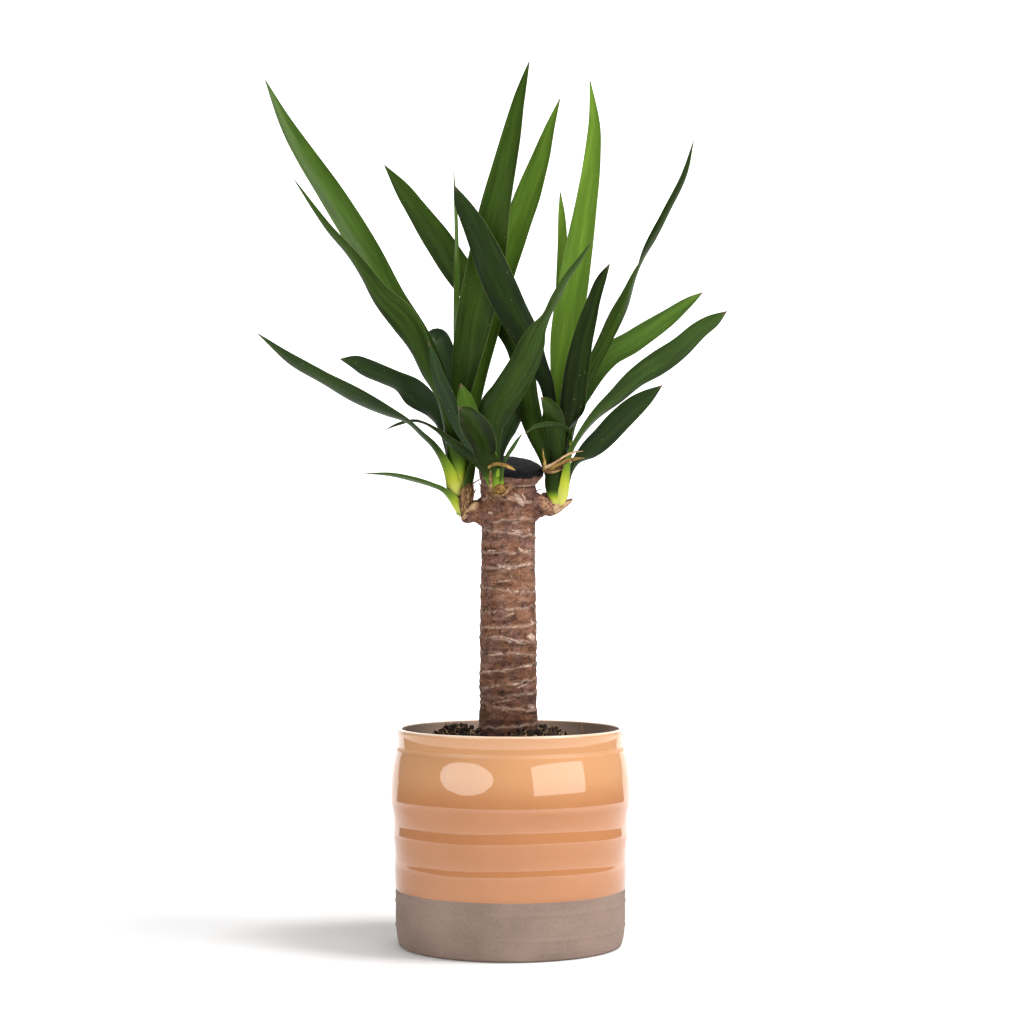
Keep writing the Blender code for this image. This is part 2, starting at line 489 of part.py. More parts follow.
def build_nursery_pot(mat, segments=40):
    """The tapered plastic pot with a rolled lip and drain holes."""
    base = POT_FLOOR + CLEAR
    top = base + NURSERY_HEIGHT
    lip = nursery_radius(NURSERY_HEIGHT) + NURSERY_LIP
    low = NURSERY_HEIGHT - NURSERY_LIP_HEIGHT
    profile = [(0.0, base), (NURSERY_BASE_RADIUS, base), (nursery_radius(low), base + low),
               (lip, base + low), (lip, top),
               (nursery_radius(NURSERY_HEIGHT) - NURSERY_WALL, top),
               (NURSERY_BASE_RADIUS - NURSERY_WALL, base + NURSERY_WALL), (0.0, base + NURSERY_WALL)]
    pot = add_object("nursery_pot", turned(profile, segments), mat, sharp=30.0)
    for number in range(DRAIN_HOLES):
        angle = math.tau * (number + 0.5) / DRAIN_HOLES
        place = Vector((math.cos(angle), math.sin(angle), 0.0)) * DRAIN_CIRCLE
        hole = bmesh.new()
        bmesh.ops.create_cone(hole, cap_ends=True, segments=12, radius1=DRAIN_RADIUS,
                              radius2=DRAIN_RADIUS, depth=6.0,
                              matrix=Matrix.Translation(place + Vector((0.0, 0.0, base))))
        cutter = add_object(f"drain_cutter_{number}", hole, mat)
        cutter.hide_render = True
        cutter.display_type = "WIRE"
        cut = pot.modifiers.new(f"drain_{number}", "BOOLEAN")
        cut.operation = "DIFFERENCE"
        cut.object = cutter
    return pot


def soil_height(x, y, hole, wall):
    """Surface of the potting mix: a cone about the cane with heaps on it."""
    reach = math.hypot(x - CANE_X, y)
    share = min(1.0, max(0.0, (reach - hole) / (wall - hole)))
    height = SOIL_AT_CANE + (SOIL_AT_WALL - SOIL_AT_CANE) * share ** SOIL_CURVE
    for heap_x, heap_y, size, rise in HEAPS:
        away = math.hypot(x - heap_x, y - heap_y) / size
        height += rise * math.exp(-away * away)
    fade = min(1.0, 4.0 * share, 4.0 * (1.0 - share))
    return height + SOIL_ROUGH * fade * noise.noise(Vector((x / 5.0, y / 5.0, 3.0)))


def build_soil(mat, segments=36):
    """The potting mix: fills the nursery pot and has a socket for the cane."""
    low = POT_FLOOR + 2 * CLEAR + NURSERY_WALL
    hole = CANE[0][1] + CLEAR
    wall = nursery_radius(SOIL_AT_WALL - POT_FLOOR) - NURSERY_WALL - 2 * CLEAR
    foot = NURSERY_BASE_RADIUS - NURSERY_WALL - 2 * CLEAR
    shares = [1.0, 0.85, 0.7, 0.55, 0.4, 0.26, 0.12, 0.0]

    def ring(share, height=None, radius=None):
        points = []
        for i in range(segments):
            angle = math.tau * i / segments
            inner = Vector((CANE_X + hole * math.cos(angle), hole * math.sin(angle)))
            outer = Vector((math.cos(angle), math.sin(angle))) * (radius or wall)
            spot = inner.lerp(outer, share)
            top = soil_height(spot.x, spot.y, hole, wall) if height is None else height
            points.append((spot.x, spot.y, top))
        return points

    rings = [ring(1.0, low, foot)] + [ring(share) for share in shares]
    rings.append(ring(0.0, CANE_FOOT - CLEAR))
    return add_object("soil", loft(rings), mat, sharp=70.0)


# ---------------------------------------------------------------- the whole plant

def build():
    clear_scene()
    build_cover_pot(material("glazed_stoneware", (0.72, 0.47, 0.30), 0.2))
    build_nursery_pot(material("black_plastic", (0.02, 0.02, 0.02), 0.5))
    build_soil(material("potting_mix", (0.05, 0.035, 0.025), 0.95))
    build_cane(material("bark", (0.26, 0.18, 0.14), 0.9))
    build_wax_seal(material("black_wax", (0.03, 0.03, 0.035), 0.6))
    stem_green = material("stem_green", (0.45, 0.55, 0.15), 0.5)
    for name, rows in STEMS.items():
        add_stem(name, rows, stem_green)
    leaf_green = material("leaf_green", (0.08, 0.17, 0.03), 0.4)
    for name, rows in LEAVES.items():
        add_leaf(name, rows, leaf_green)
    papery = material("dry_sheath", (0.55, 0.38, 0.2), 0.8)
    for name, rows in SHEATHS.items():
        add_leaf(name, rows, papery, count=8)


build()
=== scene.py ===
"""Looks for the potted yucca: glazed pot, potting mix, bark, wax, leaves and dry sheaths.

Lengths are in millimetres, scaled by MM. +Z is up and the front of the plant faces -Y.
"""
import math
import random

import bpy
import numpy as np
from mathutils import Matrix, Vector, noise


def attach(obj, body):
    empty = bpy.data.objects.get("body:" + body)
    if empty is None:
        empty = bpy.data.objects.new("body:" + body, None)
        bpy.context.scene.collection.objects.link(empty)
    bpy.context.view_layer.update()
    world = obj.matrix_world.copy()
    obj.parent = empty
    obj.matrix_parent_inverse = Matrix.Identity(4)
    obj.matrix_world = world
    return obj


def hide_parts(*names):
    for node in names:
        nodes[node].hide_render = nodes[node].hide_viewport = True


MM = 0.001
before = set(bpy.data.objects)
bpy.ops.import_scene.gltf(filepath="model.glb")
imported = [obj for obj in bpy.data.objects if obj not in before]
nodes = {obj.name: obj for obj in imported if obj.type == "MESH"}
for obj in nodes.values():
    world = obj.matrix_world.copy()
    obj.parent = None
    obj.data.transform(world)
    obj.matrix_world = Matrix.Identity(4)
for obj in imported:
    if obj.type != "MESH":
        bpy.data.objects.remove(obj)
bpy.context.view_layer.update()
rng = random.Random(11)

# the pot's outside (radius, height), its wall and the line where the glaze ends
POT_OUTSIDE = [(62.6, 0.0), (64.6, 0.7), (65.7, 2.6), (66.4, 5.5), (66.8, 9.0), (67.2, 16.0),
               (67.2, 26.0), (67.4, 34.0), (67.6, 39.5), (67.88, 45.6), (67.88, 46.9),
               (67.65, 51.4), (67.8, 56.0), (68.45, 61.8), (68.83, 65.2), (68.72, 68.0),
               (68.55, 72.0), (68.8, 76.0), (69.3, 79.4), (69.9, 82.0), (70.18, 83.5),
               (70.25, 84.8), (70.25, 88.5), (70.13, 92.8), (69.8, 97.0), (69.16, 102.0),
               (68.25, 107.0), (67.1, 111.6), (66.22, 114.3), (66.1, 114.7), (66.06, 115.1),
               (66.06, 117.0), (66.25, 121.0), (66.7, 124.8)]
POT_HEIGHT = 126.0
LIP_BASE = 124.8                # where the rounded lip starts
LIP_MIDDLE = 64.9               # radius of the middle of the lip
POT_WALL = 4.7
LIP_WALL = 3.4
POT_FLOOR = 6.2
GLAZE_LINE = 34.0
GLAZE_THICK = 0.3
CLAY_RIDGES = (26.0, 12.0)

# potting mix: level at the wall and at the cane, and heaps (x, y, reach, rise)
SOIL_AT_WALL = 107.0
SOIL_AT_CANE = 121.5
SOIL_WALL_RADIUS = 54.8
SOIL_HOLE = 16.2                # radius round the cane
SCATTER_RADIUS = 53.5           # loose bits lie inside this, and outside the next
SCATTER_HOLE = 18.6
HEAPS = [(-36.0, -5.0, 15.0, 9.6), (25.0, -6.0, 12.5, 5.6), (7.0, -22.0, 8.0, 3.0),
         (4.0, 32.0, 14.0, 3.0)]

# cane: rows of (height, radius), and the slanted saw cut
CANE_X = -1.3
BARK_FOOT = 112.0               # below this the cane is plain, hidden in the potting mix
STROKE_RADIUS = 16.4            # of the bark, where strokes are laid out
STROKE_REACH = 16.9             # x of the bark's side, seen from the front
CANE = [(40.0, 16.8), (123.0, 16.8), (131.0, 17.2), (139.0, 16.5), (152.0, 16.9), (165.0, 16.3),
        (178.0, 16.8), (195.0, 16.1), (208.0, 16.3), (220.0, 15.7), (231.0, 16.0), (243.0, 15.6),
        (252.0, 16.1), (262.0, 16.3), (270.0, 16.6), (278.2, 17.6)]
CUT_HEIGHT = 278.2
CUT_RADIUS = 17.6
CUT_FALL_RIGHT = 0.09
LIP_RIGHT = 3.2
LIP_FADE = 1.3
CUT_RISE_BACK = 0.33
WAX_RISE = 3.5                  # of the dome over the cut
BUD = (-6.85, -22.4, 265.2)     # middle of the old bud's back
# stubs of the side shoots: rows of (x, y, z, radius) from inside the cane to the rounded end
STUBS = {
    "left": [(-11, 0, 252.4, 11.6), (-15.6, 0, 252.4, 9.9), (-18.4, -0.3, 252.6, 7.6), (-21, -0.6, 253, 6.4),
        (-24.2, -0.8, 252.2, 6.1), (-27, -1, 251.6, 4.8), (-28.6, -1.2, 251, 3.2), (-29.3, -1.2, 250.7, 1)],
    "right": [(10.6, 0, 255.8, 11), (14.6, -0.2, 255.8, 8.8), (17.2, -0.5, 256.2, 6.7),
        (19.8, -0.8, 256.6, 6.9), (22.2, -1, 256, 6.1), (24.4, -1.3, 255.2, 4.4), (25.7, -1.5, 254.8, 2.4),
        (26.1, -1.5, 254.8, 0.8)],
}
# torn faces on the stubs where old leaves came off: (x, y, z, reach)
TORN = [(-22, -6.2, 255.4, 4), (-26.8, -3.6, 249.8, 2.6), (20.8, -6.8, 257.2, 5.2), (23.6, -5, 253.2, 3.4),
    (-1, -17, 266.8, 3.6), (18.6, -6.4, 260.8, 3)]
# strokes on the front of the bark: (x, z) to (x, z), half width, and pale (+) or dark (-) strength
STROKES = [(-14, 229.9, -8.5, 229.5, 0.4, 0.8), (5, 231.2, 8, 229.4, 0.4, 0.8),
    (9, 229.4, 13, 229.8, 0.35, 0.7), (-8, 221.6, -3, 220.2, 0.55, 1), (-3, 220.2, 0.3, 218.8, 0.45, 0.9),
    (1.9, 219.4, 5.6, 220.9, 0.6, 1), (5.6, 220.9, 11.8, 221.5, 0.5, 1), (-3.8, 216, 5, 213.6, 1.4, -0.8),
    (0, 215.6, 1.2, 214.2, 0.4, 0.7), (-15.9, 209, -6, 209.2, 0.4, -0.8),
    (-9.6, 211.4, -0.3, 212.4, 0.4, 0.5), (-4.2, 188.6, 4.2, 191, 1.8, -0.7),
    (-4.6, 191.6, 3, 193.6, 0.4, 0.5), (13, 189.6, 13.2, 187.2, 0.7, 1), (-10, 180.4, -3.5, 179.7, 0.4, 0.7),
    (-3.5, 179.7, 4.5, 177.3, 0.4, 0.7), (10.2, 180, 14.4, 179, 1.3, 1), (12, 181.8, 12.8, 177.4, 0.8, 0.9),
    (-1.5, 177.3, 1, 177.2, 0.6, 1), (3.5, 176.7, 8.5, 175.7, 0.6, 0.9), (0.5, 174.6, 12.6, 175.2, 0.5, -0.8),
    (-13.2, 169, -5, 170, 0.4, 0.7), (6, 162.5, 12.8, 162.8, 0.6, 1), (-17, 159, -8.6, 160.2, 0.5, 0.7),
    (-8.6, 160.2, -2.5, 159.5, 0.4, 0.6), (-15, 156.6, -4, 156.4, 1.7, -0.6),
    (-7.8, 151.8, -7.2, 151.4, 0.8, 0.8), (2, 152.4, 4.2, 152.6, 0.7, 0.9),
    (4.5, 150.4, 11.2, 153.4, 0.5, 0.8), (-7, 147.4, 0.5, 146.4, 1.8, -0.6),
    (-11.1, 141.2, 3.5, 144, 0.35, 0.5), (-10, 139.4, -6.4, 138.8, 0.4, 0.7),
    (-5.6, 137.9, -1.2, 137, 0.5, 0.9), (10.4, 139.6, 14.2, 138.4, 1.2, 0.9),
    (1.5, 135.6, 15, 134.7, 0.5, -0.8), (-13.8, 251.8, -10.7, 251.2, 0.5, 0.8), (1, 241, 6, 240.6, 1, 0.5),
    (11.4, 242, 12.4, 241.8, 0.7, 0.8), (-11.7, 238, -8, 235.6, 1.3, -0.8),
    (-5.4, 251.8, -6.4, 258.6, 0.5, -0.9), (-6.4, 258.6, -11.7, 263.9, 0.5, -0.9),
    (-2.8, 253.5, -2.8, 238, 1.6, -0.5), (3, 262, 8, 256, 1.6, 0.5), (7, 262.6, 9.6, 258.8, 0.5, 0.8),
    (1.6, 245.6, 6, 246.4, 0.6, 0.6), (-2, 268, 15.6, 267.4, 0.7, -1)]
LOOSE_STROKES = 70              # more of them, scattered over the sides and the back
# leaf scars round the bark: height, tilt across the front, direction of the tilt in degrees
SCARS = [(128, 1.2, 40), (138.5, 2.4, 170), (146, 1.5, 20), (152.5, 2.6, 10), (161, 3, 5), (169.5, 1, 200),
    (177.5, 1.8, 185), (187, 2, 60), (195.6, 1.6, 10), (207.5, 2, 150), (221, 1.6, 20), (229.5, 1.4, 90),
    (239.5, 2, 190), (248, 2, 30), (258, 2.2, 220), (268.8, 1.2, 0)]

# leaves: shade of the upper and the under side (0 darkest, 1 palest), share of painted grey-blue sheen
# (a painted reflection on the glossy blade), how far up the pale foot reaches, and rows of (x, y, z,
# width, turn, curl). The shades are partly the leaf's own green and partly painted light: a leaf lit
# through from behind is given a paler shade. turn is the side of the shoot that the blade's back faces,
# in degrees: front 0, right 90, far side 180, left -90. curl is the angle that its channel closes. What
# a row leaves out is as in the row before. The first rows are the foot that clasps the stem.
LEAVES = {
    "left_leaf_1": (0.38, 0.36, 0, 15, [(-29.6, -1.2, 249.6, 9, -90, 230), (-32.6, -1.4, 254, 15),
        (-35.9, -2, 259.6, 15, -88, 170), (-40.4, -3.4, 264.6, 11.5, -82, 90), (-45, -5, 267, 10, -75, 50),
        (-55, -7, 270.5, 9.5, -72, 40), (-68, -9, 273.5, 7.5, -75), (-85, -12, 274.5, 0.6, -80)]),
    "left_leaf_2": (0.17, 0.17, 0.15, 24, [(-34, -1.2, 259.4, 17, -90, 270),
        (-36.8, -1.6, 265.5, 23, -90, 265), (-38.4, -2, 274.3, 19, -88, 220),
        (-41.3, -3, 282.6, 14.5, -82, 140), (-46.4, -4, 290.8, 12.5, -78, 80), (-52, -5, 296.5, 12, -76, 45),
        (-60, -7, 304, 12.5, -80), (-71.5, -9, 309.5, 14, -66), (-89.5, -12, 318.8, 15.5, -57),
        (-108.8, -15, 329, 14, -60), (-128.3, -18, 341, 9.5, -55), (-146.2, -20, 355.2, 0.6, -50)]),
    "left_leaf_3": (0.16, 0.16, 0.2, 12, [(-34.5, 0.6, 266, 12, -100, 200), (-36.6, 1.4, 280, 12, -90, 130),
        (-39, 2.4, 292, 11, -78, 85), (-42, 3.6, 303, 12, -60, 70), (-46.2, 5, 312, 15, -45, 50),
        (-57.4, 8, 322.6, 17, -20, 40), (-67.7, 11, 329.3, 15, -46, 50), (-76, 13, 333, 14, -40),
        (-85.2, 15, 337.2, 13, -35, 45), (-92.2, 17, 341, 9.5, -30), (-101.3, 19, 343.5, 0.6)]),
    "left_leaf_4": (0.25, 0.25, 0, 16, [(-30.8, -4.6, 264, 11, -5, 180), (-31.4, -5.6, 274, 13.5, -8, 160),
        (-32.7, -6.6, 284.5, 13, -20, 120), (-35.2, -8.6, 294, 12.5, -42, 85),
        (-38.2, -10.4, 305.5, 11.5, -62, 60), (-42.6, -12, 319.2, 12, -68), (-48, -15, 331.9, 14, -52),
        (-54.2, -19, 347.9, 17, -40), (-62.4, -23, 362.8, 18, -22), (-75.5, -27, 376.1, 15.5, -42),
        (-84.6, -30, 389, 13, -52), (-92.7, -33, 400.4, 11, -62, 55), (-105.2, -36, 415.1, 8, -60, 50),
        (-123.3, -40, 441.3, 0.6)]),
    "left_leaf_5": (0.36, 0.36, 0, 12, [(-33.4, 1.4, 268, 9, -140, 190), (-34.2, 3, 281, 9, -142, 140),
        (-35.2, 5, 295, 8, -145, 80), (-38.8, 7.4, 312.3, 8.5, -145, 45), (-46.3, 8, 338.6, 14, -150, 50),
        (-55.4, 10, 355.9, 16, -155, 40), (-70.6, 12, 378.3, 18, -158), (-86.5, 16, 407.5, 18.5),
        (-106.5, 20, 440.5, 17, -155), (-121.9, 22, 463.6, 14.5, -150, 45), (-135, 23.5, 486, 9, -145),
        (-146.6, 25, 510.9, 0.6)]),
    "left_leaf_6": (0.22, 0.2, 0.9, 10, [(-31.8, 3, 264, 10, 180, 190), (-32.4, 4.4, 276, 11, 180, 140),
        (-32.6, 9, 290, 10, 180, 70), (-35, 15, 312, 13, 180, 45), (-39, 25, 338, 16),
        (-44.5, 45, 357, 15, 180, 40), (-48, 68, 355, 10), (-51, 90, 343, 0.6)]),
    "left_leaf_7": (0.45, 0.4, 0.1, 8, [(-32.2, 1.4, 272, 7, -110, 170), (-32.6, 2.4, 286, 6, -110, 120),
        (-32, 5.5, 320, 7, -108, 45), (-32.6, 8, 348, 8), (-32.5, 9, 381, 8, -110), (-32.5, 10, 411.3, 7),
        (-32.9, 11, 433, 4.5), (-33.7, 12, 455.4, 0.6)]),
    "left_leaf_8": (0.3, 0.25, 0, 5, [(-23.6, -1, 261, 14, 92, 200), (-22.3, -1, 268.5, 16, 92, 190),
        (-20.8, -0.8, 280, 15, 98, 140), (-22.6, -1.4, 291, 13.5, 112, 100),
        (-25.6, -2.2, 304, 12.5, 130, 80), (-28, -3, 318, 13, 150, 50), (-25.6, -4, 340, 17.5, 165, 40),
        (-20.8, -4.6, 366, 21.5, 174, 35), (-13.8, -5.4, 399, 22.5), (-9.4, -5.6, 426.5, 19, 170),
        (-2.5, -6, 458, 14.5, 162, 40), (2, -5, 479.5, 10.5, 160), (6.5, -4, 499, 6.5),
        (11, -3, 516.4, 0.6)]),
    "left_leaf_9": (0.53, 0.5, 0, 12, [(-27.6, 1.6, 268, 9, 160, 190), (-27.6, 3.4, 281, 10, 160, 140),
        (-23.5, 7, 312, 10, 168, 45), (-15.5, 9, 350, 13, 170), (-5.8, 12, 390.4, 15.5, 172, 40),
        (3.7, 14, 421, 16.5), (10.1, 15, 439.7, 15.5), (17.2, 16, 460.6, 11.5, 170, 45), (24.1, 17, 483, 5.5),
        (29.4, 18, 498.4, 0.6)]),
    "centre_leaf_1": (0.12, 0.13, 0.05, 9, [(-11, -22.6, 264.5, 6.5, -60, 150),
        (-14.4, -22.6, 272, 9, -60, 110), (-18, -21.6, 278, 8.6, -58, 80), (-20.5, -20.2, 281, 7.6, -50, 70),
        (-27.6, -18, 286.5, 9, -48, 60), (-35.6, -16.5, 292.8, 8, -58), (-43.7, -9, 299.8, 6, -78),
        (-49.9, -4, 303.6, 5, -84, 50), (-57.1, 2, 305.5, 4, -75), (-66.3, 6, 303.8, 3, -60),
        (-73.5, 9, 301, 0.5)]),
    "centre_leaf_2": (0.3, 0.3, 0.2, 3, [(-4.4, -22.6, 268, 3.4, 60, 120), (-4.1, -24.4, 276, 3.4, 60, 100),
        (-1.6, -27.6, 283.6, 3.6, 55, 80), (1.8, -31.2, 289, 3.4, 55, 60), (4.6, -34.6, 293.4, 2.4, 60),
        (6.6, -37, 296.2, 0.5)]),
    "centre_leaf_3": (0.1, 0.1, 0, 8, [(-9.2, -24.4, 266, 8, 0, 150), (-10, -25.4, 273, 9.5, -4, 120),
        (-12, -27.4, 279.6, 12, -8, 85), (-14.6, -30, 283.9, 13, -10, 70), (-15.4, -33, 288.6, 15.5, -10, 60),
        (-16.8, -39, 293.3, 17, -10, 50), (-19, -47, 297.7, 17, -12, 45), (-21.8, -57, 302, 14.5, -14),
        (-24.7, -67, 306.3, 9.5, -16), (-28.8, -78, 309, 0.6)]),
    "centre_leaf_4": (0.45, 0.47, 0, 8, [(-8.5, -25, 272, 7, -10, 150), (-12, -27, 287, 7, -18, 80),
        (-19.4, -30.4, 298.8, 9.5, -18, 50), (-25, -32, 311.6, 11, -15), (-26.6, -33, 318, 8.5),
        (-28.5, -34, 325.4, 0.6)]),
    "centre_leaf_5": (0.18, 0.16, 0.35, 3, [(-10.6, -23.6, 268, 8, -30, 160), (-13.4, -24, 279, 8, -30, 100),
        (-17, -24.3, 285, 7.5, -32, 70), (-22.6, -25, 290, 7, -30, 60), (-28.5, -25.6, 298.8, 8.5),
        (-32.9, -26, 308.5, 9.5, -32), (-36.8, -27, 318.3, 9.5, -30), (-41.1, -29, 328, 8.5),
        (-44, -31, 338.6, 6, -35), (-46.9, -33, 349.2, 0.6, -40)]),
    "centre_leaf_6": (0.06, 0.06, 0.1, 4, [(-7, -19, 266, 8, 40, 160), (-7.4, -19.2, 280, 9, 36, 100),
        (-5.2, -17.5, 293, 12, 35, 60), (-0.8, -11.5, 302, 13.5, 40, 50), (4, -2, 309.5, 11.5, 45, 45),
        (9, 5, 316.5, 7), (14, 9.5, 322, 0.6)]),
    "centre_leaf_7": (0.31, 0.25, 0.05, 7, [(-8.6, -24, 266, 8, 10, 160), (-9.4, -25, 279, 9, 10, 110),
        (-10.6, -26.2, 291, 11, 10, 75), (-11, -27, 298.7, 15.5, 10, 80), (-7.8, -30, 311.3, 21.5, 8, 95),
        (-2.6, -33, 317.9, 21, 10, 100), (5.6, -38, 331.2, 19.5, 12), (9.7, -41, 338.8, 18.5, 14, 95),
        (14, -44, 348.2, 16.5, 24, 80), (17, -46, 355.8, 12.5, 44, 60), (20.4, -48, 361.4, 9.6, 60, 50),
        (26.2, -51, 372.7, 9, 62), (31.2, -54, 382, 7.4), (39.4, -57, 393.7, 4.4, 61, 45),
        (46.1, -60, 403.9, 0.6, 60)]),
    "right_leaf_1": (0.12, 0.11, 0.1, 10, [(31.6, -0.6, 257, 12, 90, 200), (33.8, -0.2, 266, 12, 88, 150),
        (36, 0.2, 275, 10, 80, 95), (39, 0, 281, 9.5, 62, 60), (46.4, -2.6, 287.8, 13.5, 35, 45),
        (54.4, -6, 295.2, 15, 28, 40), (64.1, -8, 305.6, 15, 25), (74.3, -10, 314.9, 12.5, 22),
        (79.4, -11, 318.8, 9.5), (88.2, -13, 325.7, 0.6)]),
    "right_leaf_2": (0.1, 0.14, 0, 6, [(25.4, -5.2, 257, 10, -20, 190), (24.9, -6.8, 264, 13.5, -12, 150),
        (25.6, -8.2, 274, 12.5, -6, 100), (27.2, -9.4, 284.7, 9, 0, 80), (26.6, -11, 291.6, 11.5, 5, 65),
        (25.7, -14.6, 299.3, 13, 8, 60), (24.7, -19, 306, 13, 10, 50), (23.1, -25, 311.1, 10, 12),
        (20, -31, 315.1, 5.5), (17.5, -36, 317.2, 0.6)]),
    "right_leaf_3": (0.16, 0.2, 0.1, 3, [(34.6, -4.8, 291, 2.6, -50, 60), (34.4, -7.6, 297.6, 3.2),
        (31.4, -12.6, 300.8, 3.8), (26.2, -18.8, 302.2, 4), (19.8, -25.4, 302, 3.8), (13.8, -30.4, 300.4, 3),
        (8.4, -33, 296.7, 0.5)]),
    "right_leaf_4": (0.25, 0.25, 0, 6, [(24.4, -1.4, 258, 10, -70, 190), (22, -2.2, 271, 11, -58, 120),
        (19.4, -4.2, 283, 9, -40, 70), (14.5, -7.5, 297, 12, -20, 60), (12.2, -8, 305, 13.5, -18, 50),
        (9.3, -4, 321.5, 13.5, -18, 45), (7.6, 2, 335, 14), (4.5, 5, 350, 15.5, -18, 40),
        (-4.7, 10, 365.4, 16.5, -15), (-20.2, 16, 381.7, 17.5, -10), (-33.5, 20, 399.4, 18),
        (-44.2, 23, 415.5, 17), (-56.5, 26, 433.7, 12.5), (-64.3, 28, 445.2, 9.5, -10, 45),
        (-75.6, 30, 460.8, 0.6)]),
    "right_leaf_5": (0.3, 0.26, 0.1, 26, [(30.6, -4.6, 256, 10, 38, 190), (32.4, -6, 263, 10.5, 44, 150),
        (33.4, -7.2, 274, 8.6, 52, 100), (34.6, -8, 284, 7, 60, 70), (42.3, -7, 298.7, 8, 62, 60),
        (49.6, -9, 307.7, 10, 58, 50), (62.1, -12, 319, 13, 48, 45), (73.3, -15, 329.2, 15, 40),
        (85.5, -17, 337.7, 16, 30, 40), (97.7, -19, 346.1, 15, 33), (111.1, -20, 358.2, 11.5, 32),
        (118, -21, 362.7, 8.5, 30), (124.9, -22, 367.8, 0.6)]),
    "right_leaf_6": (0.01, 0.04, 0, 12, [(30.4, -4, 266, 8, 40, 170), (31.8, -4.8, 282, 7, 48, 100),
        (32.8, -6, 294, 6.5, 62, 60), (33.4, -8, 300, 8.5, 58), (34.8, -9.5, 306, 12, 35, 50),
        (36, -11, 311.5, 15, 18, 40), (37.4, -14, 324, 15.5), (39.4, -17, 336.7, 15.5, 20),
        (41.7, -20, 348.5, 14.5, 26), (45.7, -23, 364.8, 12, 32), (48.1, -25, 373.4, 9.5, 34),
        (52.9, -27, 386.9, 6, 38), (57, -29, 394.5, 0.6, 40)]),
    "right_leaf_7": (0.49, 0.49, 0.35, 16, [(31.8, 2, 264, 10, 130, 200), (32.4, 3, 277, 9.5, 130, 140),
        (33.6, 5.8, 287.5, 6, 130, 40), (37, 9, 305, 9, 135, 50), (43.5, 13.5, 321.5, 12, 142),
        (51, 16, 335.5, 14.5, 150, 45), (60, 18.2, 346, 15.5, 155, 40), (72.3, 19, 353.1, 15.5, 156),
        (78.4, 19.4, 357.1, 15), (93.5, 21, 367.7, 11.5, 155), (108.7, 22, 379.3, 5.5, 150),
        (114.5, 23, 383.5, 0.6)]),
    "right_leaf_8": (0.24, 0.28, 0, 14, [(32, 0, 264, 9, 85, 190), (33.4, 0.2, 279, 8, 82, 130),
        (34.8, 0.6, 290, 5, 80, 50), (39.4, 1.6, 312, 8, 60), (47, 2.6, 334, 11, 50),
        (55.2, 3.6, 350.5, 13, 48), (62.7, 4.6, 366.1, 14, 50, 45), (68.5, 6, 378.1, 13.5, 62),
        (74.1, 6, 392.2, 13, 80), (81.1, 6, 407.2, 12.5, 108), (92.2, 5, 428.3, 11, 112),
        (102.2, 4, 449.2, 8, 115), (107.9, 3, 471, 0.6)]),
    "right_leaf_9": (0.06, 0.08, 0.1, 5, [(26.6, -2.4, 262, 9, -30, 190), (27.2, -2.2, 277, 8, -30, 110),
        (27.6, -2, 290, 5.5, -30, 50), (26, -2.2, 305, 7, -20), (22.9, -3.2, 318, 7.6, -12, 45),
        (20.6, -4.8, 328, 9, -8), (14.8, -5.6, 340, 13, -6), (9.1, -8, 354.3, 16.5, -5, 40),
        (0, -12, 370.8, 18.5, -2, 38), (-7.3, -14, 386.4, 19), (-16.8, -16, 408, 16.5, -15, 40),
        (-24.2, -17, 423.6, 12), (-28.9, -18, 432.4, 8), (-32.5, -19, 441.1, 0.6)]),
    "right_leaf_10": (0.66, 0.66, 0, 18, [(29.2, 2.8, 262, 10, 180, 200), (29.4, 4, 277, 10, 180, 140),
        (29, 6.2, 291, 5.6, 180, 40), (28.1, 7.4, 318, 7.5, 180, 50), (29.2, 10, 335.7, 12),
        (31.3, 13, 351.1, 16, 180, 40), (34.9, 16, 373.6, 18.5), (39.5, 18, 402.2, 17.5),
        (45.1, 20, 435.9, 13), (48.7, 21, 463.4, 10.5), (50, 22, 483.9, 7), (49.1, 22, 496.1, 4),
        (47.5, 23, 510.2, 0.6)]),
    "right_leaf_11": (0.85, 0.85, 0, 10, [(29.6, 2.4, 268, 7, 170, 180), (29.8, 5, 283, 6, 170, 110),
        (30.7, 12, 297, 4.6, 165, 40), (31, 19, 335, 7.5, 160, 45), (31, 24, 375, 8.5, 160, 50),
        (31.4, 28, 414.6, 6.5), (30.6, 30, 432.2, 4), (29.9, 32, 444.8, 0.6)]),
    "left_leaf_10": (0.2, 0.22, 0.1, 14, [(-29.6, 3.4, 262, 10, 170, 200), (-29.4, 5, 276, 11, 170, 150),
        (-29, 11, 289, 10, 168, 80), (-27.5, 22, 300, 11, 165, 50), (-26.5, 45, 323, 11, 170, 45),
        (-27, 78, 333, 0.6, 175)]),
    "right_leaf_12": (0.2, 0.22, 0.1, 14, [(29, 3, 258, 11, 185, 200), (29.6, 5, 270, 12, 185, 150),
        (30.4, 10, 283, 11, 185, 90), (32, 20, 300, 11, 185, 50), (36, 42, 322, 12, 180, 45),
        (38, 75, 336, 0.6)]),
}

# dry sheaths, in the same form as the leaves
SHEATHS = {
    "left_sheath": [(-23, -1, 259.6, 13.5, 88, 140), (-22.4, -1, 262.5, 12, 88, 130),
        (-22.6, -1, 265.5, 8.5, 88, 110), (-23.1, -1, 267.5, 3.5, 88, 90)],
    "right_sheath": [(25.2, -1.2, 250.6, 9, 70, 150), (28.4, -1.5, 252.3, 12, 72),
        (31.8, -1.8, 255.2, 11, 75, 130), (34.2, -2, 258.2, 6, 80, 110), (36.6, -2.2, 260.4, 0.6, 80, 90)],
    "right_dry_leaf": [(19.4, -11.4, 277, 3, 20, 60), (23.4, -12.4, 277.6, 3.2, 15),
        (29, -12.8, 280.2, 2.8, 10), (35.6, -12.2, 282.6, 2.2), (43, -11.2, 283.5, 0.5)],
}
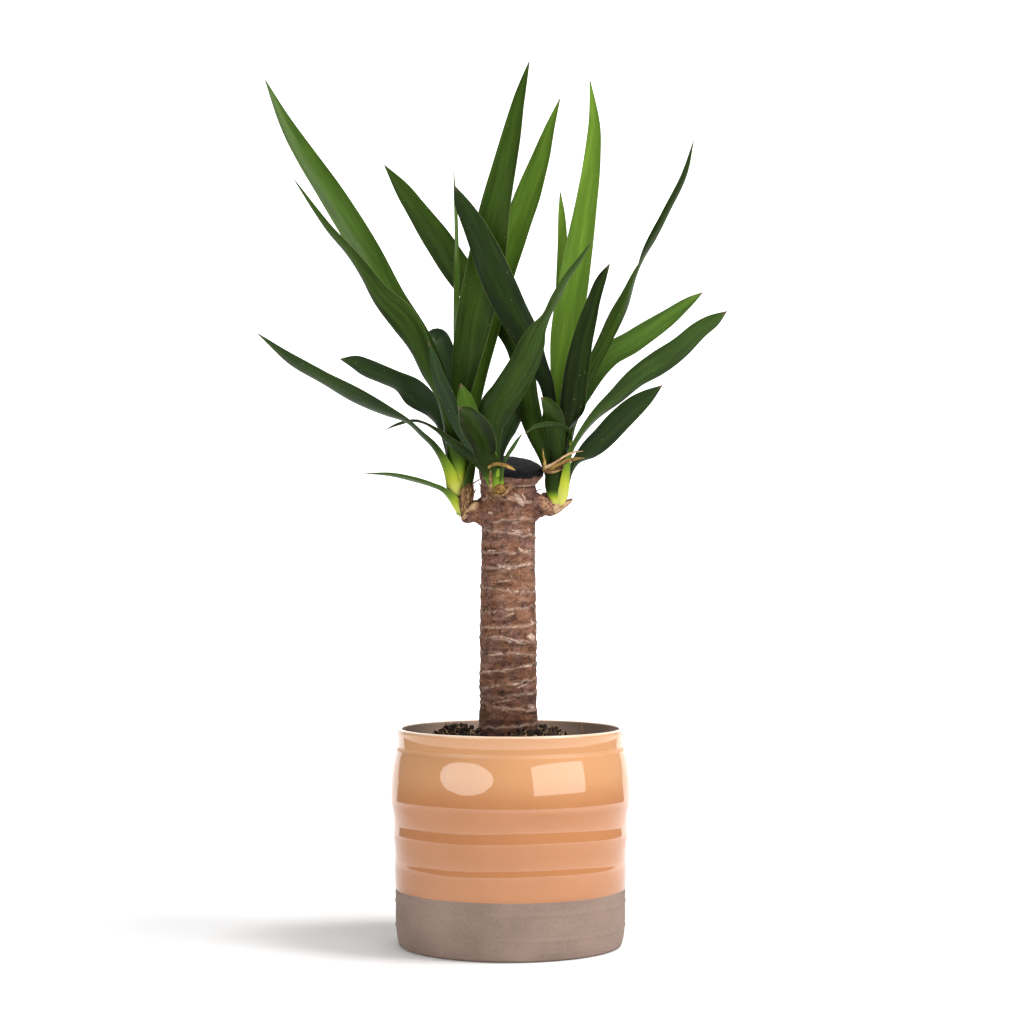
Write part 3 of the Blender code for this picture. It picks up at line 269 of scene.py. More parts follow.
# dry scraps round the feet of the shoots, in the same form, with their material
SCRAPS = [
    ("tan", [(-27.2, -6, 250.4, 4, 20, 100), (-25.8, -8, 255, 9, 20, 120), (-24.6, -8.2, 260.5, 11, 25),
        (-23.8, -7.2, 265, 10, 30, 110), (-23.9, -6.2, 267.6, 6, 30, 90), (-24.4, -5.8, 269.2, 0.8)]),
    ("cream", [(-25.8, -7.4, 252.4, 0.8, 10, 50), (-22.8, -8.8, 254.4, 3.6, 10, 60),
        (-19.8, -8.4, 256.4, 4.2, 15), (-18, -7.6, 257.6, 0.8)]),
    ("cream", [(-28.9, -4.6, 248.6, 1.2, -30, 60), (-27, -6.2, 249.4, 2.8, -10),
        (-24.8, -6.8, 250.4, 0.8, 0)]),
    ("gold", [(-13.4, -25.6, 276.6, 1.2, 0, 40), (-10.9, -29, 278.7, 1.9), (-7.6, -30, 279.5, 1.9),
        (-3.4, -29, 278.8, 2.3), (0.2, -27.4, 277.2, 2), (2.9, -26, 276.1, 0.5)]),
    ("tan", [(-11.3, -25.6, 263.6, 1.8, -10, 60), (-11.5, -26.6, 269, 2.2), (-11.3, -27.6, 276.2, 0.8)]),
    ("gold", [(20.3, -11.8, 276.2, 2.6, 0, 70), (19.9, -12.4, 280, 2.1, -5), (19.2, -12.6, 284.4, 1.4),
        (18.6, -12.6, 289.2, 0.4, -5, 60)]),
    ("cream", [(19.8, -12.2, 277.8, 1.6, 5, 60), (25.4, -13.4, 280.4, 1.5), (32, -13.6, 284.8, 1.3),
        (37.4, -13, 287, 1.1), (42.2, -12.2, 287.5, 0.3)]),
    ("tan", [(18.6, -12, 276.6, 1.8, 5, 60), (23.2, -13, 275.2, 2), (27.6, -13.4, 276, 1.2),
        (31.4, -13.2, 277.8, 0.3)]),
    ("cream", [(25, -4.6, 252.6, 5, 20, 90), (28.6, -5, 255.2, 6.2), (32.4, -4.6, 256.6, 4.2, 25),
        (36.6, -3.8, 259.4, 0.5, 30)]),
    ("tan", [(-14.2, -17.6, 262, 2.2, -20, 60), (-10, -20.4, 262, 3.4, 0), (-5, -20.6, 262, 3.4),
        (-1.4, -19, 265, 2.6), (1.2, -17.8, 266.2, 0.5)]),
]
# thin dry fibres: rows of (x, y, z, radius)
HAIRS = [
    [(-21.6, -6.8, 266.6, 0.5), (-21.9, -7.2, 268.6, 0.45), (-20.2, -7.4, 269.9, 0.4),
     (-16.3, -7, 272.4, 0.15)],
    [(-21.4, -7.4, 263, 0.5), (-20.4, -7.6, 264.8, 0.35), (-19.2, -7.4, 266.2, 0.12)],
    [(-14.6, -18.6, 264.6, 0.35), (-17, -17.6, 266.4, 0.3), (-18.6, -16.4, 270.4, 0.15)],
    [(-12.6, -19.4, 262, 0.4), (-8.6, -18.8, 258.4, 0.35), (-6, -17.4, 252, 0.15)],
    [(15.2, -6.6, 264.4, 0.4), (16.8, -7.6, 265.4, 0.3), (19.6, -7.6, 265.2, 0.12)],
    [(24.4, -9.4, 276, 0.5), (27.8, -12, 277.6, 0.45), (33, -12.6, 280.8, 0.2)],
    [(40.5, -9, 110.8, 0.5), (42.2, -9.6, 121, 0.45), (40.4, -10.2, 130.5, 0.2)],
    [(46.5, -10, 109.6, 0.5), (43.4, -10, 120, 0.45), (43.8, -9.6, 128.4, 0.2)],
]
# colours of the dry bits: the material's name, then its dark, middle and pale
DRY_LOOKS = {
    "tan": ("dry_sheath", (0.04, 0.016, 0.008), (0.165, 0.078, 0.03), (0.52, 0.33, 0.15)),
    "cream": ("pale_sheath", (0.2, 0.1, 0.05), (0.47, 0.29, 0.15), (0.7, 0.5, 0.3)),
    "gold": ("gold_sheath", (0.07, 0.03, 0.008), (0.24, 0.13, 0.025), (0.6, 0.42, 0.12)),
}

# studio: radius of the round table in metres, and the camera's place, degrees up and lens
FLOOR_RADIUS = 0.75
CAMERA = (0.9, -1382.0, 233.0)
CAMERA_TILT = 0.8
LENS = 82.93


# ---- material graphs

class Graph:
    """The nodes of one material. Each method adds a node and returns its main output."""

    def __init__(self, name):
        self.material = bpy.data.materials.new(name)
        self.material.use_nodes = True
        self.tree = self.material.node_tree
        self.tree.nodes.clear()

    def add(self, kind, inputs, output=0, **settings):
        node = self.tree.nodes.new("ShaderNode" + kind)
        for key, value in settings.items():
            setattr(node, key, value)
        for key, value in inputs.items():
            if isinstance(value, bpy.types.NodeSocket):
                self.tree.links.new(value, node.inputs[key])
            else:
                node.inputs[key].default_value = value
        return node.outputs[output] if node.outputs else None

    def attribute(self, name, output="Fac"):
        return self.add("Attribute", {}, output, attribute_name=name)

    def place(self, stretch=1.0, where=None):
        """Object coordinates in millimetres, or those given, stretched by one number or three."""
        scale = np.ones(3) * stretch
        if where is None:
            where = self.add("TexCoord", {}, "Object")
            scale = scale / MM
        return self.add("Mapping", {"Vector": where, "Scale": scale})

    def height(self):
        return self.add("SeparateXYZ", {0: self.place()}, "Z")

    def noise(self, stretch, detail=3.0, rough=0.55, bend=0.0, where=None, output="Fac"):
        inputs = {"Vector": self.place(stretch, where), "Scale": 1.0, "Detail": detail,
                  "Roughness": rough, "Distortion": bend}
        return self.add("TexNoise", inputs, output)

    def cells(self, stretch, where=None, feature="F1"):
        inputs = {"Vector": self.place(stretch, where), "Scale": 1.0}
        return self.add("TexVoronoi", inputs, "Distance", feature=feature)

    def math(self, operation, a, b, clamp=False):
        return self.add("Math", {0: a, 1: b}, operation=operation, use_clamp=clamp)

    def times(self, a, b, clamp=False):
        return self.math("MULTIPLY", a, b, clamp)

    def minus(self, a, b):
        return self.math("SUBTRACT", a, b)

    def total(self, *parts):
        """The sum of (value, weight) pairs."""
        summed, *rest = [self.times(value, weight) for value, weight in parts]
        for part in rest:
            summed = self.math("ADD", summed, part)
        return summed

    def band(self, value, low, high):
        """0 below low, 1 above high, smooth between."""
        return self.add("MapRange", {"Value": value, "From Min": low, "From Max": high},
                        interpolation_type="SMOOTHSTEP")

    def ramp(self, value, *stops):
        colour = self.add("ValToRGB", {"Fac": value})
        elements = colour.node.color_ramp.elements
        while len(elements) < len(stops):
            elements.new(0.5)
        for element, (at, *tint) in zip(elements, stops):
            element.position = at
            element.color = (*tint, 1.0)
        return colour

    def mix(self, share, a, b, blend="MIX"):
        inputs = {0: share}
        for key, colour in ((6, a), (7, b)):
            inputs[key] = (*colour, 1.0) if isinstance(colour, tuple) else colour
        return self.add("Mix", inputs, 2, data_type="RGBA", blend_type=blend)

    def bump(self, height, depth, strength=1.0, under=None):
        inputs = {"Height": height, "Distance": depth * MM, "Strength": strength}
        if under is not None:
            inputs["Normal"] = under
        return self.add("Bump", inputs)

    def finish(self, colour, rough, normal=None, **inputs):
        """The Principled shader, with further sockets named by words_joined_by_underscores."""
        named = {key.replace("_", " "): value for key, value in inputs.items()}
        named.update({"Base Color": colour, "Roughness": rough})
        if normal is not None:
            named["Normal"] = normal
        self.add("OutputMaterial", {"Surface": self.add("BsdfPrincipled", named)})
        return self.material


def glaze_material():
    g = Graph("peach_glaze")
    colour = g.ramp(g.noise((0.02, 0.02, 0.05)), (0.3, 0.422, 0.171, 0.065), (0.7, 0.455, 0.191, 0.077))
    iron = g.band(g.cells(0.16), 0.07, 0.03)
    colour = g.mix(g.times(iron, 0.25), colour, (0.3, 0.13, 0.05))
    height = g.height()
    # painted light: the glaze is paler and yellower from the belly's widest part upwards, where it faces up
    # to the light
    colour = g.mix(g.times(g.band(height, 84.0, 104.0), 0.7), colour, (0.59, 0.308, 0.142))
    colour = g.mix(g.band(height, 124.6, 125.6), colour, (0.72, 0.52, 0.37))
    crease = g.times(g.band(height, 113.0, 114.0), g.band(height, 116.4, 115.2))
    rough = g.math("ADD", g.times(crease, 0.4), 0.035)
    return g.finish(colour, rough, g.bump(g.noise((0.01, 0.01, 0.12), 2.0), 0.4, 0.15), IOR=1.6)


def clay_material(name, low, high):
    g = Graph(name)
    grains = g.noise(1.3, 4.0, 0.8)
    cloud = g.noise((0.03, 0.03, 0.04))
    colour = g.ramp(g.total((cloud, 0.4), (grains, 0.6)), (0.4, *low), (0.6, *high))
    turned = g.bump(g.noise((0.012, 0.012, 0.25), 2.0), 0.5, 0.25)
    return g.finish(colour, 0.8, g.bump(grains, 0.2, 0.6, turned))


def plastic_material():
    g = Graph("black_plastic")
    grain = g.noise(1.2, 4.0)
    colour = g.ramp(grain, (0.3, 0.012, 0.012, 0.013), (0.7, 0.028, 0.027, 0.026))
    dust = g.noise((0.2, 0.2, 0.4), 4.0)
    rough = g.add("MapRange", {"Value": dust, "To Min": 0.35, "To Max": 0.65})
    return g.finish(colour, rough, g.bump(grain, 0.1, 0.4))


def soil_material():
    g = Graph("potting_mix")
    crumbs = g.noise(0.7, 6.0, 0.7)
    chips = g.cells((0.5, 0.5, 0.8))
    colour = g.ramp(crumbs, (0.35, 0.006, 0.004, 0.003), (0.55, 0.028, 0.017, 0.011),
                    (0.72, 0.11, 0.066, 0.036))
    return g.finish(colour, 0.95, g.bump(g.minus(crumbs, chips), 1.2), Specular_IOR_Level=0.2)


def fibre_material():
    g = Graph("soil_fibre")
    colour = g.ramp(g.noise(0.2), (0.38, 0.02, 0.011, 0.007), (0.5, 0.11, 0.062, 0.032),
                    (0.66, 0.42, 0.28, 0.15))
    return g.finish(colour, 0.9, g.bump(g.noise(3.0), 0.1, 0.6))


def bark_material():
    """Brown bark. The mesh carries scar (pale), hollow (dark) and torn (bare wood) values."""
    g = Graph("bark")
    scar, hollow, torn = g.attribute("scar"), g.attribute("hollow"), g.attribute("torn")
    patches = g.noise((0.13, 0.13, 0.18), 5.0, 0.6)
    fibres = g.noise((0.6, 0.6, 1.25), 6.0, 0.75, 1.2)
    grain = g.noise(2.2, 5.0, 0.8)
    flakes = g.noise((0.8, 0.8, 1.1), 3.0, 0.6, 0.6)
    rings = g.noise((0.04, 0.04, 0.26), 3.0, 0.6, 0.5)
    tone = g.total((patches, 0.24), (flakes, 0.18), (fibres, 0.28), (grain, 0.1), (rings, 0.2))
    warm = g.ramp(tone, (0.4, 0.047, 0.018, 0.011), (0.455, 0.144, 0.057, 0.031),
                  (0.52, 0.265, 0.12, 0.068), (0.6, 0.484, 0.267, 0.171))
    cool = g.ramp(tone, (0.4, 0.042, 0.019, 0.014), (0.455, 0.128, 0.057, 0.041),
                  (0.52, 0.237, 0.118, 0.085), (0.6, 0.465, 0.276, 0.207))
    colour = g.mix(g.band(g.noise((0.11, 0.11, 0.08)), 0.44, 0.58), warm, cool)
    flecks = g.band(g.noise((0.6, 0.6, 1.0), 4.0, 0.75), 0.4, 0.56)
    pale = g.times(scar, g.math("ADD", flecks, 0.3), True)
    colour = g.mix(pale, colour, (0.74, 0.54, 0.42))
    moss = g.band(g.noise((0.12, 0.12, 0.1)), 0.6, 0.72)
    colour = g.mix(g.times(moss, 0.35), colour, (0.16, 0.115, 0.035))
    # darker towards the bottom of the cane, fading out by 205 mm
    lower_darkening = g.minus(1.0, g.band(g.height(), 128.0, 205.0))
    colour = g.mix(g.times(lower_darkening, 0.62), colour, (0.5, 0.44, 0.4), "MULTIPLY")
    wobble = g.noise(0.35, 4.0, 0.7, output="Color")
    bent = g.add("VectorMath", {0: g.place((0.16, 0.16, 0.24)), 1: wobble}, operation="ADD")
    kept = g.band(g.noise((0.2, 0.2, 0.25), 2.0), 0.44, 0.58)
    splits = g.times(g.band(g.cells(1.0, bent, "DISTANCE_TO_EDGE"), 0.06, 0.0), kept)
    dark = g.math("MAXIMUM", g.times(hollow, g.band(grain, 0.34, 0.6)), g.times(splits, 0.9))
    colour = g.mix(g.times(dark, 0.85), colour, (0.018, 0.009, 0.006))
    bare = g.ramp(g.noise(0.8, 5.0, 0.75, 0.8), (0.38, 0.05, 0.02, 0.012),
                  (0.46, 0.34, 0.155, 0.085), (0.6, 0.62, 0.37, 0.22))
    colour = g.mix(torn, colour, bare)
    normal = g.bump(g.minus(fibres, splits), 0.9, 0.9)
    return g.finish(colour, 0.85, g.bump(grain, 0.4, 0.8, normal), Specular_IOR_Level=0.25)


def wax_material():
    g = Graph("black_wax")
    grain = g.noise(2.4, 6.0, 0.75)
    dust = g.band(g.noise(3.2), 0.64, 0.74)
    colour = g.ramp(grain, (0.35, 0.003, 0.003, 0.004), (0.65, 0.009, 0.009, 0.012))
    colour = g.mix(g.times(dust, 0.4), colour, (0.06, 0.06, 0.065))
    return g.finish(colour, 0.6, g.bump(grain, 0.4), Specular_IOR_Level=0.06)


def leaf_material():
    """Leaf green. The mesh carries flow (place on the blade in mm), tone (partly painted light), painted
    sheen, root and tip.
    """
    g = Graph("leaf_green")
    flow, across, root = g.attribute("flow", "Vector"), g.attribute("across"), g.attribute("root")
    veins = g.noise((2.4, 0.035, 1.0), 4.0, 0.65, where=flow)
    bands = g.noise((0.3, 0.022, 1.0), where=flow)
    lines = g.minus(veins, 0.5)
    middle = g.minus(g.band(across, 1.0, 0.1), 0.35)
    shade = g.total((g.attribute("tone"), 1.0), (lines, 0.3), (g.minus(bands, 0.5), 0.42),
                    (middle, 0.09))
    colour = g.ramp(shade, (0.0, 0.004, 0.008, 0.001), (0.25, 0.02, 0.041, 0.004),
                    (0.5, 0.055, 0.11, 0.012), (0.75, 0.115, 0.215, 0.021), (1.0, 0.23, 0.38, 0.045))
    # painted sheen: a grey-blue painted reflection laid over the green
    colour = g.mix(g.times(g.attribute("painted_sheen"), 0.6), colour, (0.055, 0.095, 0.075))
    foot = g.ramp(g.total((root, 1.0), (lines, 0.3)), (0.0, 0.06, 0.13, 0.012),
                  (0.45, 0.16, 0.26, 0.02), (0.75, 0.4, 0.45, 0.035), (1.0, 0.56, 0.56, 0.12))
    colour = g.mix(g.band(root, 0.0, 0.45), colour, foot)
    specks = g.band(g.cells((0.3, 0.12, 1.0), flow), 0.07, 0.03)
    colour = g.mix(g.times(specks, 0.4), colour, (0.4, 0.5, 0.22))
    colour = g.mix(g.times(g.band(across, 0.94, 1.0), 0.35), colour, (0.2, 0.27, 0.08))
    colour = g.mix(g.attribute("tip"), colour, (0.13, 0.09, 0.05))
    rough = g.add("MapRange", {"Value": bands, "To Min": 0.3, "To Max": 0.48})
    return g.finish(colour, rough, g.bump(veins, 0.12, 0.8), Specular_IOR_Level=0.07)


def stem_material():
    g = Graph("stem_green")
    streaks = g.noise((0.9, 0.9, 0.12), 4.0)
    colour = g.ramp(streaks, (0.3, 0.14, 0.23, 0.03), (0.55, 0.28, 0.35, 0.06),
                    (0.75, 0.42, 0.43, 0.16))
    return g.finish(colour, 0.45, g.bump(streaks, 0.2, 0.6))


def dry_material(name, low, mid, high):
    """Papery dry leaf. The mesh carries flow (place on it in mm) and across (0 to 1 at the edge)."""
    g = Graph(name)
    streaks = g.noise((1.5, 0.16, 1.0), 4.0, 0.65, 0.4, g.attribute("flow", "Vector"))
    blots = g.noise(0.35, 4.0, 0.7)
    tone = g.total((streaks, 0.6), (blots, 0.4))
    colour = g.ramp(tone, (0.4, *low), (0.5, *mid), (0.62, *high))
    colour = g.mix(g.times(g.band(g.attribute("across"), 0.7, 1.0), 0.6), colour, low)
    return g.finish(colour, 0.65, g.bump(streaks, 0.5, 0.9), Specular_IOR_Level=0.25)


# ---- mesh helpers

def add_object(name, data):
    made = bpy.data.objects.new(name, data)
    bpy.context.scene.collection.objects.link(made)
    return made


def add_mesh(name, points, faces, mats):
    mesh = bpy.data.meshes.new(name)
    mesh.from_pydata(points, [], faces)
    for mat in mats:
        mesh.materials.append(mat)
    mesh.shade_smooth()
    return add_object(name, mesh)


def add_piece(name, points, faces, mats, replaces=(), pick=None, sharp=None):
    """A mesh piece from points in millimetres. It rides on the part's one body."""
    piece = add_mesh(name, [tuple(np.asarray(p, float) * MM) for p in points], faces, mats)
    if pick is not None:
        piece.data.polygons.foreach_set("material_index", pick)
    if sharp is not None:
        piece.data.set_sharp_from_angle(angle=math.radians(sharp))
    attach(piece, "root")
    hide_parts(*replaces)
    return piece


def store(piece, name, values, kind="FLOAT"):
    """Keep one value for each point, for the material to read."""
    layer = piece.data.attributes.new(name, kind, "POINT")
    field = "vector" if kind == "FLOAT_VECTOR" else "value"
    layer.data.foreach_set(field, np.asarray(values, np.float32).ravel())


def turns(count):
    """Equal steps round a full turn, from 0."""
    return [math.tau * i / count for i in range(count)]


def tube_faces(rings, count, start=0):
    """Quads between rings of count points each, closed round, and a face over each end."""
    faces = []
    for a in range(start, start + (rings - 1) * count, count):
        for i in range(count):
            j = (i + 1) % count
            faces.append((a + i, a + j, a + count + j, a + count + i))
    last = start + (rings - 1) * count
    return faces + [tuple(range(start, start + count))[::-1], tuple(range(last, last + count))]


def along(rows, fractions):
    """Read rows (x, y, z, ...) of a smooth line at fractions of its length."""
    rows = np.array(rows, dtype=float)
    steps = np.linalg.norm(np.diff(rows[:, :3], axis=0), axis=1)
    station = np.concatenate(([0.0], np.cumsum(steps)))
    rate = np.diff(rows, axis=0) / steps[:, None]
    slope = np.zeros_like(rows)
    slope[0], slope[-1] = rate[0], rate[-1]
    before, after = steps[:-1, None], steps[1:, None]
    slope[1:-1] = (rate[:-1] * after + rate[1:] * before) / (before + after)
    at = np.asarray(fractions) * station[-1]
    index = np.clip(np.searchsorted(station, at, side="right") - 1, 0, len(steps) - 1)
    span = steps[index][:, None]
    t = (at - station[index])[:, None] / span
    return ((1 + 2 * t) * (1 - t) ** 2 * rows[index] + t * (1 - t) ** 2 * span * slope[index]
            + t * t * (3 - 2 * t) * rows[index + 1] + t * t * (t - 1) * span * slope[index + 1])


def unit(vector):
    return vector / np.linalg.norm(vector)


def smooth(value, low, high):
    t = np.clip((value - low) / (high - low), 0.0, 1.0)
    return t * t * (3 - 2 * t)


def lumps(*place):
    """Smooth noise at x, y, z."""
    return noise.noise(Vector(place))


def round_lumps(angle, size, level):
    """Noise that closes on itself round the plant."""
    return lumps(size * math.cos(angle), size * math.sin(angle), level)


# ---- leaves

def blade_shape(rows, seed, rings=84, columns=13, thick=0.75, edge=0.32, ripple=0.5):
    """Points, faces and surface values of one blade, and its length."""
    whole = []
    for row in rows:
        whole.append(row + (whole[-1][len(row):] if whole else ()))
    fractions = np.linspace(0.0, 1.0, rings) ** 1.08
    here = along(whole, fractions)
    ahead = along(whole, np.clip(fractions + 0.001, 0.0, 1.0))[:, :3]
    behind = along(whole, np.clip(fractions - 0.001, 0.0, 1.0))[:, :3]
    gone = np.concatenate(([0.0], np.cumsum(np.linalg.norm(np.diff(here[:, :3], axis=0), axis=1))))
    back = np.array((0.0, 1.0, 0.0))
    places = np.sin(np.linspace(-0.5, 0.5, columns) * math.pi) / 2
    points, values = [], []
    for row, forward, share, reach in zip(here, ahead - behind, fractions, gone):
        forward = unit(forward)
        side = unit(np.array((forward[2], 0.0, -forward[0])))
        turn = math.radians(row[4])
        across = math.cos(turn) * side + math.sin(turn) * back
        across = unit(across - forward * across.dot(forward))
        inward = np.cross(forward, across)
        width = max(row[3], 0.25)
        bend = math.radians(row[5]) / width
        inner, outer = [], []
        for place in places:
            angle = bend * place * width
            centre = (row[:3] + across * math.sin(angle) / bend
                      + inward * (1 - math.cos(angle)) / bend)
            normal = inward * math.cos(angle) - across * math.sin(angle)
            wave = lumps(place * 1.6, reach / 26.0, seed * 7.3)
            calm = smooth(reach, 12.0, 40.0) * min(1.0, width / 9.0)
            centre = centre + normal * wave * ripple * calm * (0.4 + 3.2 * abs(place))
            depth = edge + (thick - edge) * (1 - (2 * place) ** 2)
            depth *= min(1.0, 0.3 + width / 8)
            inner.append((centre + normal * depth / 2, (place, width, share, reach, 0.0)))
            outer.append((centre - normal * depth / 2, (place, width, share, reach, 1.0)))
        for point, entry in inner + outer[::-1]:
            points.append(point)
            values.append(entry)
    return points, tube_faces(rings, 2 * columns), np.array(values), gone[-1]


def store_flow(piece, values, seed):
    """Keep how far across each point is, 0 to 1 at the edge, and its place on the blade in mm."""
    place, width, _, reach, _ = values.T
    store(piece, "across", np.abs(place) * 2)
    flow = np.stack((place * width, reach, np.full_like(reach, seed * 37.0)), axis=1)
    store(piece, "flow", flow, "FLOAT_VECTOR")


def add_blade(node, upper, under, painted_sheen, foot, rows, mat, seed):
    """One leaf with the values that the leaf material reads."""
    points, faces, values, length = blade_shape(rows, seed)
    piece = add_piece(node.replace("leaf", "blade"), points, faces, [mat], [node])
    store_flow(piece, values, seed)
    _, _, share, reach, face = values.T
    risen = smooth(reach, foot, 3 * foot)
    # tone: the leaf's own green, paler towards the tip and at the foot, and partly painted light, a paler
    # shade for leaves lit through from behind
    tone = upper + (under - upper) * face + 0.1 * smooth(share, 0.3, 1.0) - 0.02
    store(piece, "tone", tone + 0.1 * (1 - risen))
    # painted sheen: a grey-blue painted reflection, stronger on the under side, none on the foot
    store(piece, "painted_sheen", painted_sheen * (0.4 + 0.6 * face) * risen)
    paleness = 0.5 if "centre" in node else 1.0
    store(piece, "root", paleness * (1 - smooth(reach, 0.0, 1.6 * foot)))
    store(piece, "tip", smooth(reach, length - 3.4, length - 0.6))


def add_sheath(name, rows, mat, seed, replaces=()):
    """A thin dry blade."""
    points, faces, values, _ = blade_shape(rows, seed, 30, 9, 0.5, 0.2, 0.8)
    store_flow(add_piece(name, points, faces, [mat], replaces), values, seed)


def add_strand(name, rows, mat, sides=7, steps=14):
    """A thin round fibre through rows of (x, y, z, radius)."""
    here = along(rows, np.linspace(0.0, 1.0, steps))
    points = []
    for row, forward in zip(here, np.gradient(here[:, :3], axis=0)):
        forward = unit(forward)
        side = unit(np.cross(forward, (0.13, 0.97, 0.2)))
        up = np.cross(side, forward)
        radius = max(row[3], 0.06)
        points += [row[:3] + radius * (side * math.cos(angle) + up * math.sin(angle))
                   for angle in turns(sides)]
    add_piece(name, points, tube_faces(steps, sides), [mat])


# ---- cane, stubs and wax

def cut_height(x, y):
    return CUT_HEIGHT - CUT_FALL_RIGHT * (x - CANE_X) + CUT_RISE_BACK * y


def flare(height, angle):
    """The bark lip under the saw cut, which spreads to the right, over a slight waist."""
    spread = LIP_RIGHT * smooth(height, 268.0, 277.0) * max(0.0, math.cos(angle)) ** LIP_FADE
    waist = 0.7 * math.exp(-((height - 268.4) / 2.0) ** 2)
    return spread - waist


def bark_relief(x, y, z, angle):
    """How far the bark stands out, and its scar and hollow values."""
    relief, scar = 0.0, 0.0
    for number, (level, tilt, toward) in enumerate(SCARS):
        lift = tilt * math.cos(angle - math.radians(toward))
        off = z - level - lift - 1.3 * round_lumps(angle, 3, number * 5.0)
        if abs(off) > 7.0:
            continue
        worn = 0.6 + 0.9 * round_lumps(angle, 2, number * 9.0 + 3.0)
        ridge = math.exp(-(off / 0.9) ** 2) * max(0.0, worn)
        relief += 0.62 * ridge - 0.4 * math.exp(-((off - 2.0) / 0.9) ** 2) * max(0.2, worn)
        scar = max(scar, math.exp(-((off - 0.2) / 0.8) ** 2) * max(0.0, worn + 0.2))
    plates = lumps(x / 6.0, y / 6.0, z / 3.6)
    broad = lumps(x / 13.0, y / 13.0, z / 17.0 + 8.0)
    fine = noise.fractal(Vector((x / 2.0, y / 2.0, z / 1.2)), 0.8, 2.0, 4)
    split = lumps(x / 3.6, y / 3.6, z / 2.4 + 4.0)
    crack = max(0.0, 1.0 - abs(split) / 0.045) * max(0.0, min(1.0, 4.0 * plates + 0.5))
    relief += 0.34 * plates + 0.5 * broad + 0.22 * fine - 0.3 * crack
    hollow = 0.45 * min(1.0, max(0.0, 0.9 * crack - 1.2 * plates - 0.3))
    return relief, scar, hollow


def stroke_values(angles, heights):
    """Pale and dark values of the strokes, over arrays of places on the bark."""
    strokes = []
    for x0, z0, x1, z1, half, strength in STROKES:
        start, end = [math.asin((x - CANE_X) / STROKE_REACH) - math.pi / 2 for x in (x0, x1)]
        strokes.append((start, z0, end, z1, half, strength))
    for _ in range(LOOSE_STROKES):
        middle, level = rng.uniform(0.0, math.pi), rng.choice(SCARS)[0] + rng.gauss(0.0, 2.0)
        reach, rise = rng.uniform(0.05, 0.22), rng.gauss(0.0, 0.8)
        strength = rng.choice((0.9, 0.7, 0.5, -0.7))
        half = rng.uniform(0.35, 0.8) * (1.0 if strength > 0 else 1.8)
        strokes.append((middle - reach, level, middle + reach, level + rise, half, strength))
    pale, dark = np.zeros_like(angles), np.zeros_like(angles)
    for start, z0, end, z1, half, strength in strokes:
        run = np.array(((end - start) * STROKE_RADIUS, z1 - z0))
        turn = (angles - start + math.pi) % math.tau - math.pi
        place = np.stack((turn * STROKE_RADIUS, heights - z0), axis=1)
        share = np.clip(place @ run / (run @ run), 0.0, 1.0)
        gap = np.linalg.norm(place - share[:, None] * run, axis=1)
        taper = half * (1.0 - 0.6 * np.abs(2 * share - 1) ** 2)
        value = abs(strength) * (1 - smooth(gap, 0.6 * taper, 1.5 * taper))
        kept = pale if strength > 0 else dark
        np.maximum(kept, value, out=kept)
    return pale, dark


def add_cane(mat, around=240, rings=330):
    """The bark, with its two stubs, as one piece."""
    heights = np.concatenate((np.linspace(CANE[0][0], BARK_FOOT, 10, endpoint=False),
                              np.linspace(BARK_FOOT, CUT_HEIGHT, rings)))
    where = [(angle, height) for height in heights for angle in turns(around)]
    pale, dark = stroke_values(*np.array(where).T)
    levels, radii = zip(*CANE)
    points, scars, hollows = [], [], []
    for (angle, height), light, deep in zip(where, pale, dark):
        rise = smooth(height, 262.0, CUT_HEIGHT)
        radius = float(np.interp(height, levels, radii)) + flare(height, angle)
        x, y = CANE_X + radius * math.cos(angle), radius * math.sin(angle)
        relief, scar, hollow = bark_relief(x, y, height, angle)
        relief *= smooth(height, BARK_FOOT, BARK_FOOT + 10.0)
        radius += relief * (1 - 0.6 * rise) + 0.2 * light - 0.3 * deep
        x, y = CANE_X + radius * math.cos(angle), radius * math.sin(angle)
        points.append((x, y, height + rise * (cut_height(x, y) - CUT_HEIGHT)))
        scars.append(max(0.5 * scar, 1.3 * light))
        hollows.append(max(hollow, deep))
    faces = tube_faces(len(heights), around)
    for rows in STUBS.values():
        stub_points, stub_faces = stub_shape(rows, len(points))
        points += stub_points
        faces += stub_faces
    stubs = len(points) - len(scars)
    piece = add_piece("bark", points, faces, [mat], ["cane"])
    store(piece, "scar", np.clip(scars + [0.0] * stubs, 0, 1))
    store(piece, "hollow", np.clip(hollows + [0.1] * stubs, 0, 1))
    places = np.array([tuple(point) for point in points])
    torn = np.zeros(len(points))
    rough = np.array([lumps(*place / 1.6) for place in places])
    for *spot, reach in TORN:
        gap = np.linalg.norm(places - spot, axis=1)
        torn = np.maximum(torn, 1 - smooth(gap + 1.4 * rough, 0.55 * reach, 0.8 * reach))
    store(piece, "torn", torn)


def stub_shape(rows, first, around=72, rings=44):
    """A short lumpy side branch that fans out where it leaves the cane."""
    points = []
    for x, y, z, radius in along(rows, np.linspace(0.0, 1.0, rings)):
        centre = Vector((x, y, z))
        for angle in turns(around):
            outward = Vector((0.0, math.cos(angle), math.sin(angle)))
            point = centre + outward * radius
            lump = 1.5 * noise.noise(point / 4.6) + 0.8 * noise.noise(point / 1.9)
            lump += 0.3 * noise.noise(point / 0.8)
            points.append(point + outward * lump * min(1.0, radius / 4))
    *sides, base, end = tube_faces(rings, around, first)
    if rows[-1][0] > rows[0][0]:
        sides = [face[::-1] for face in sides]
    return points, [*sides, base[::-1], end]


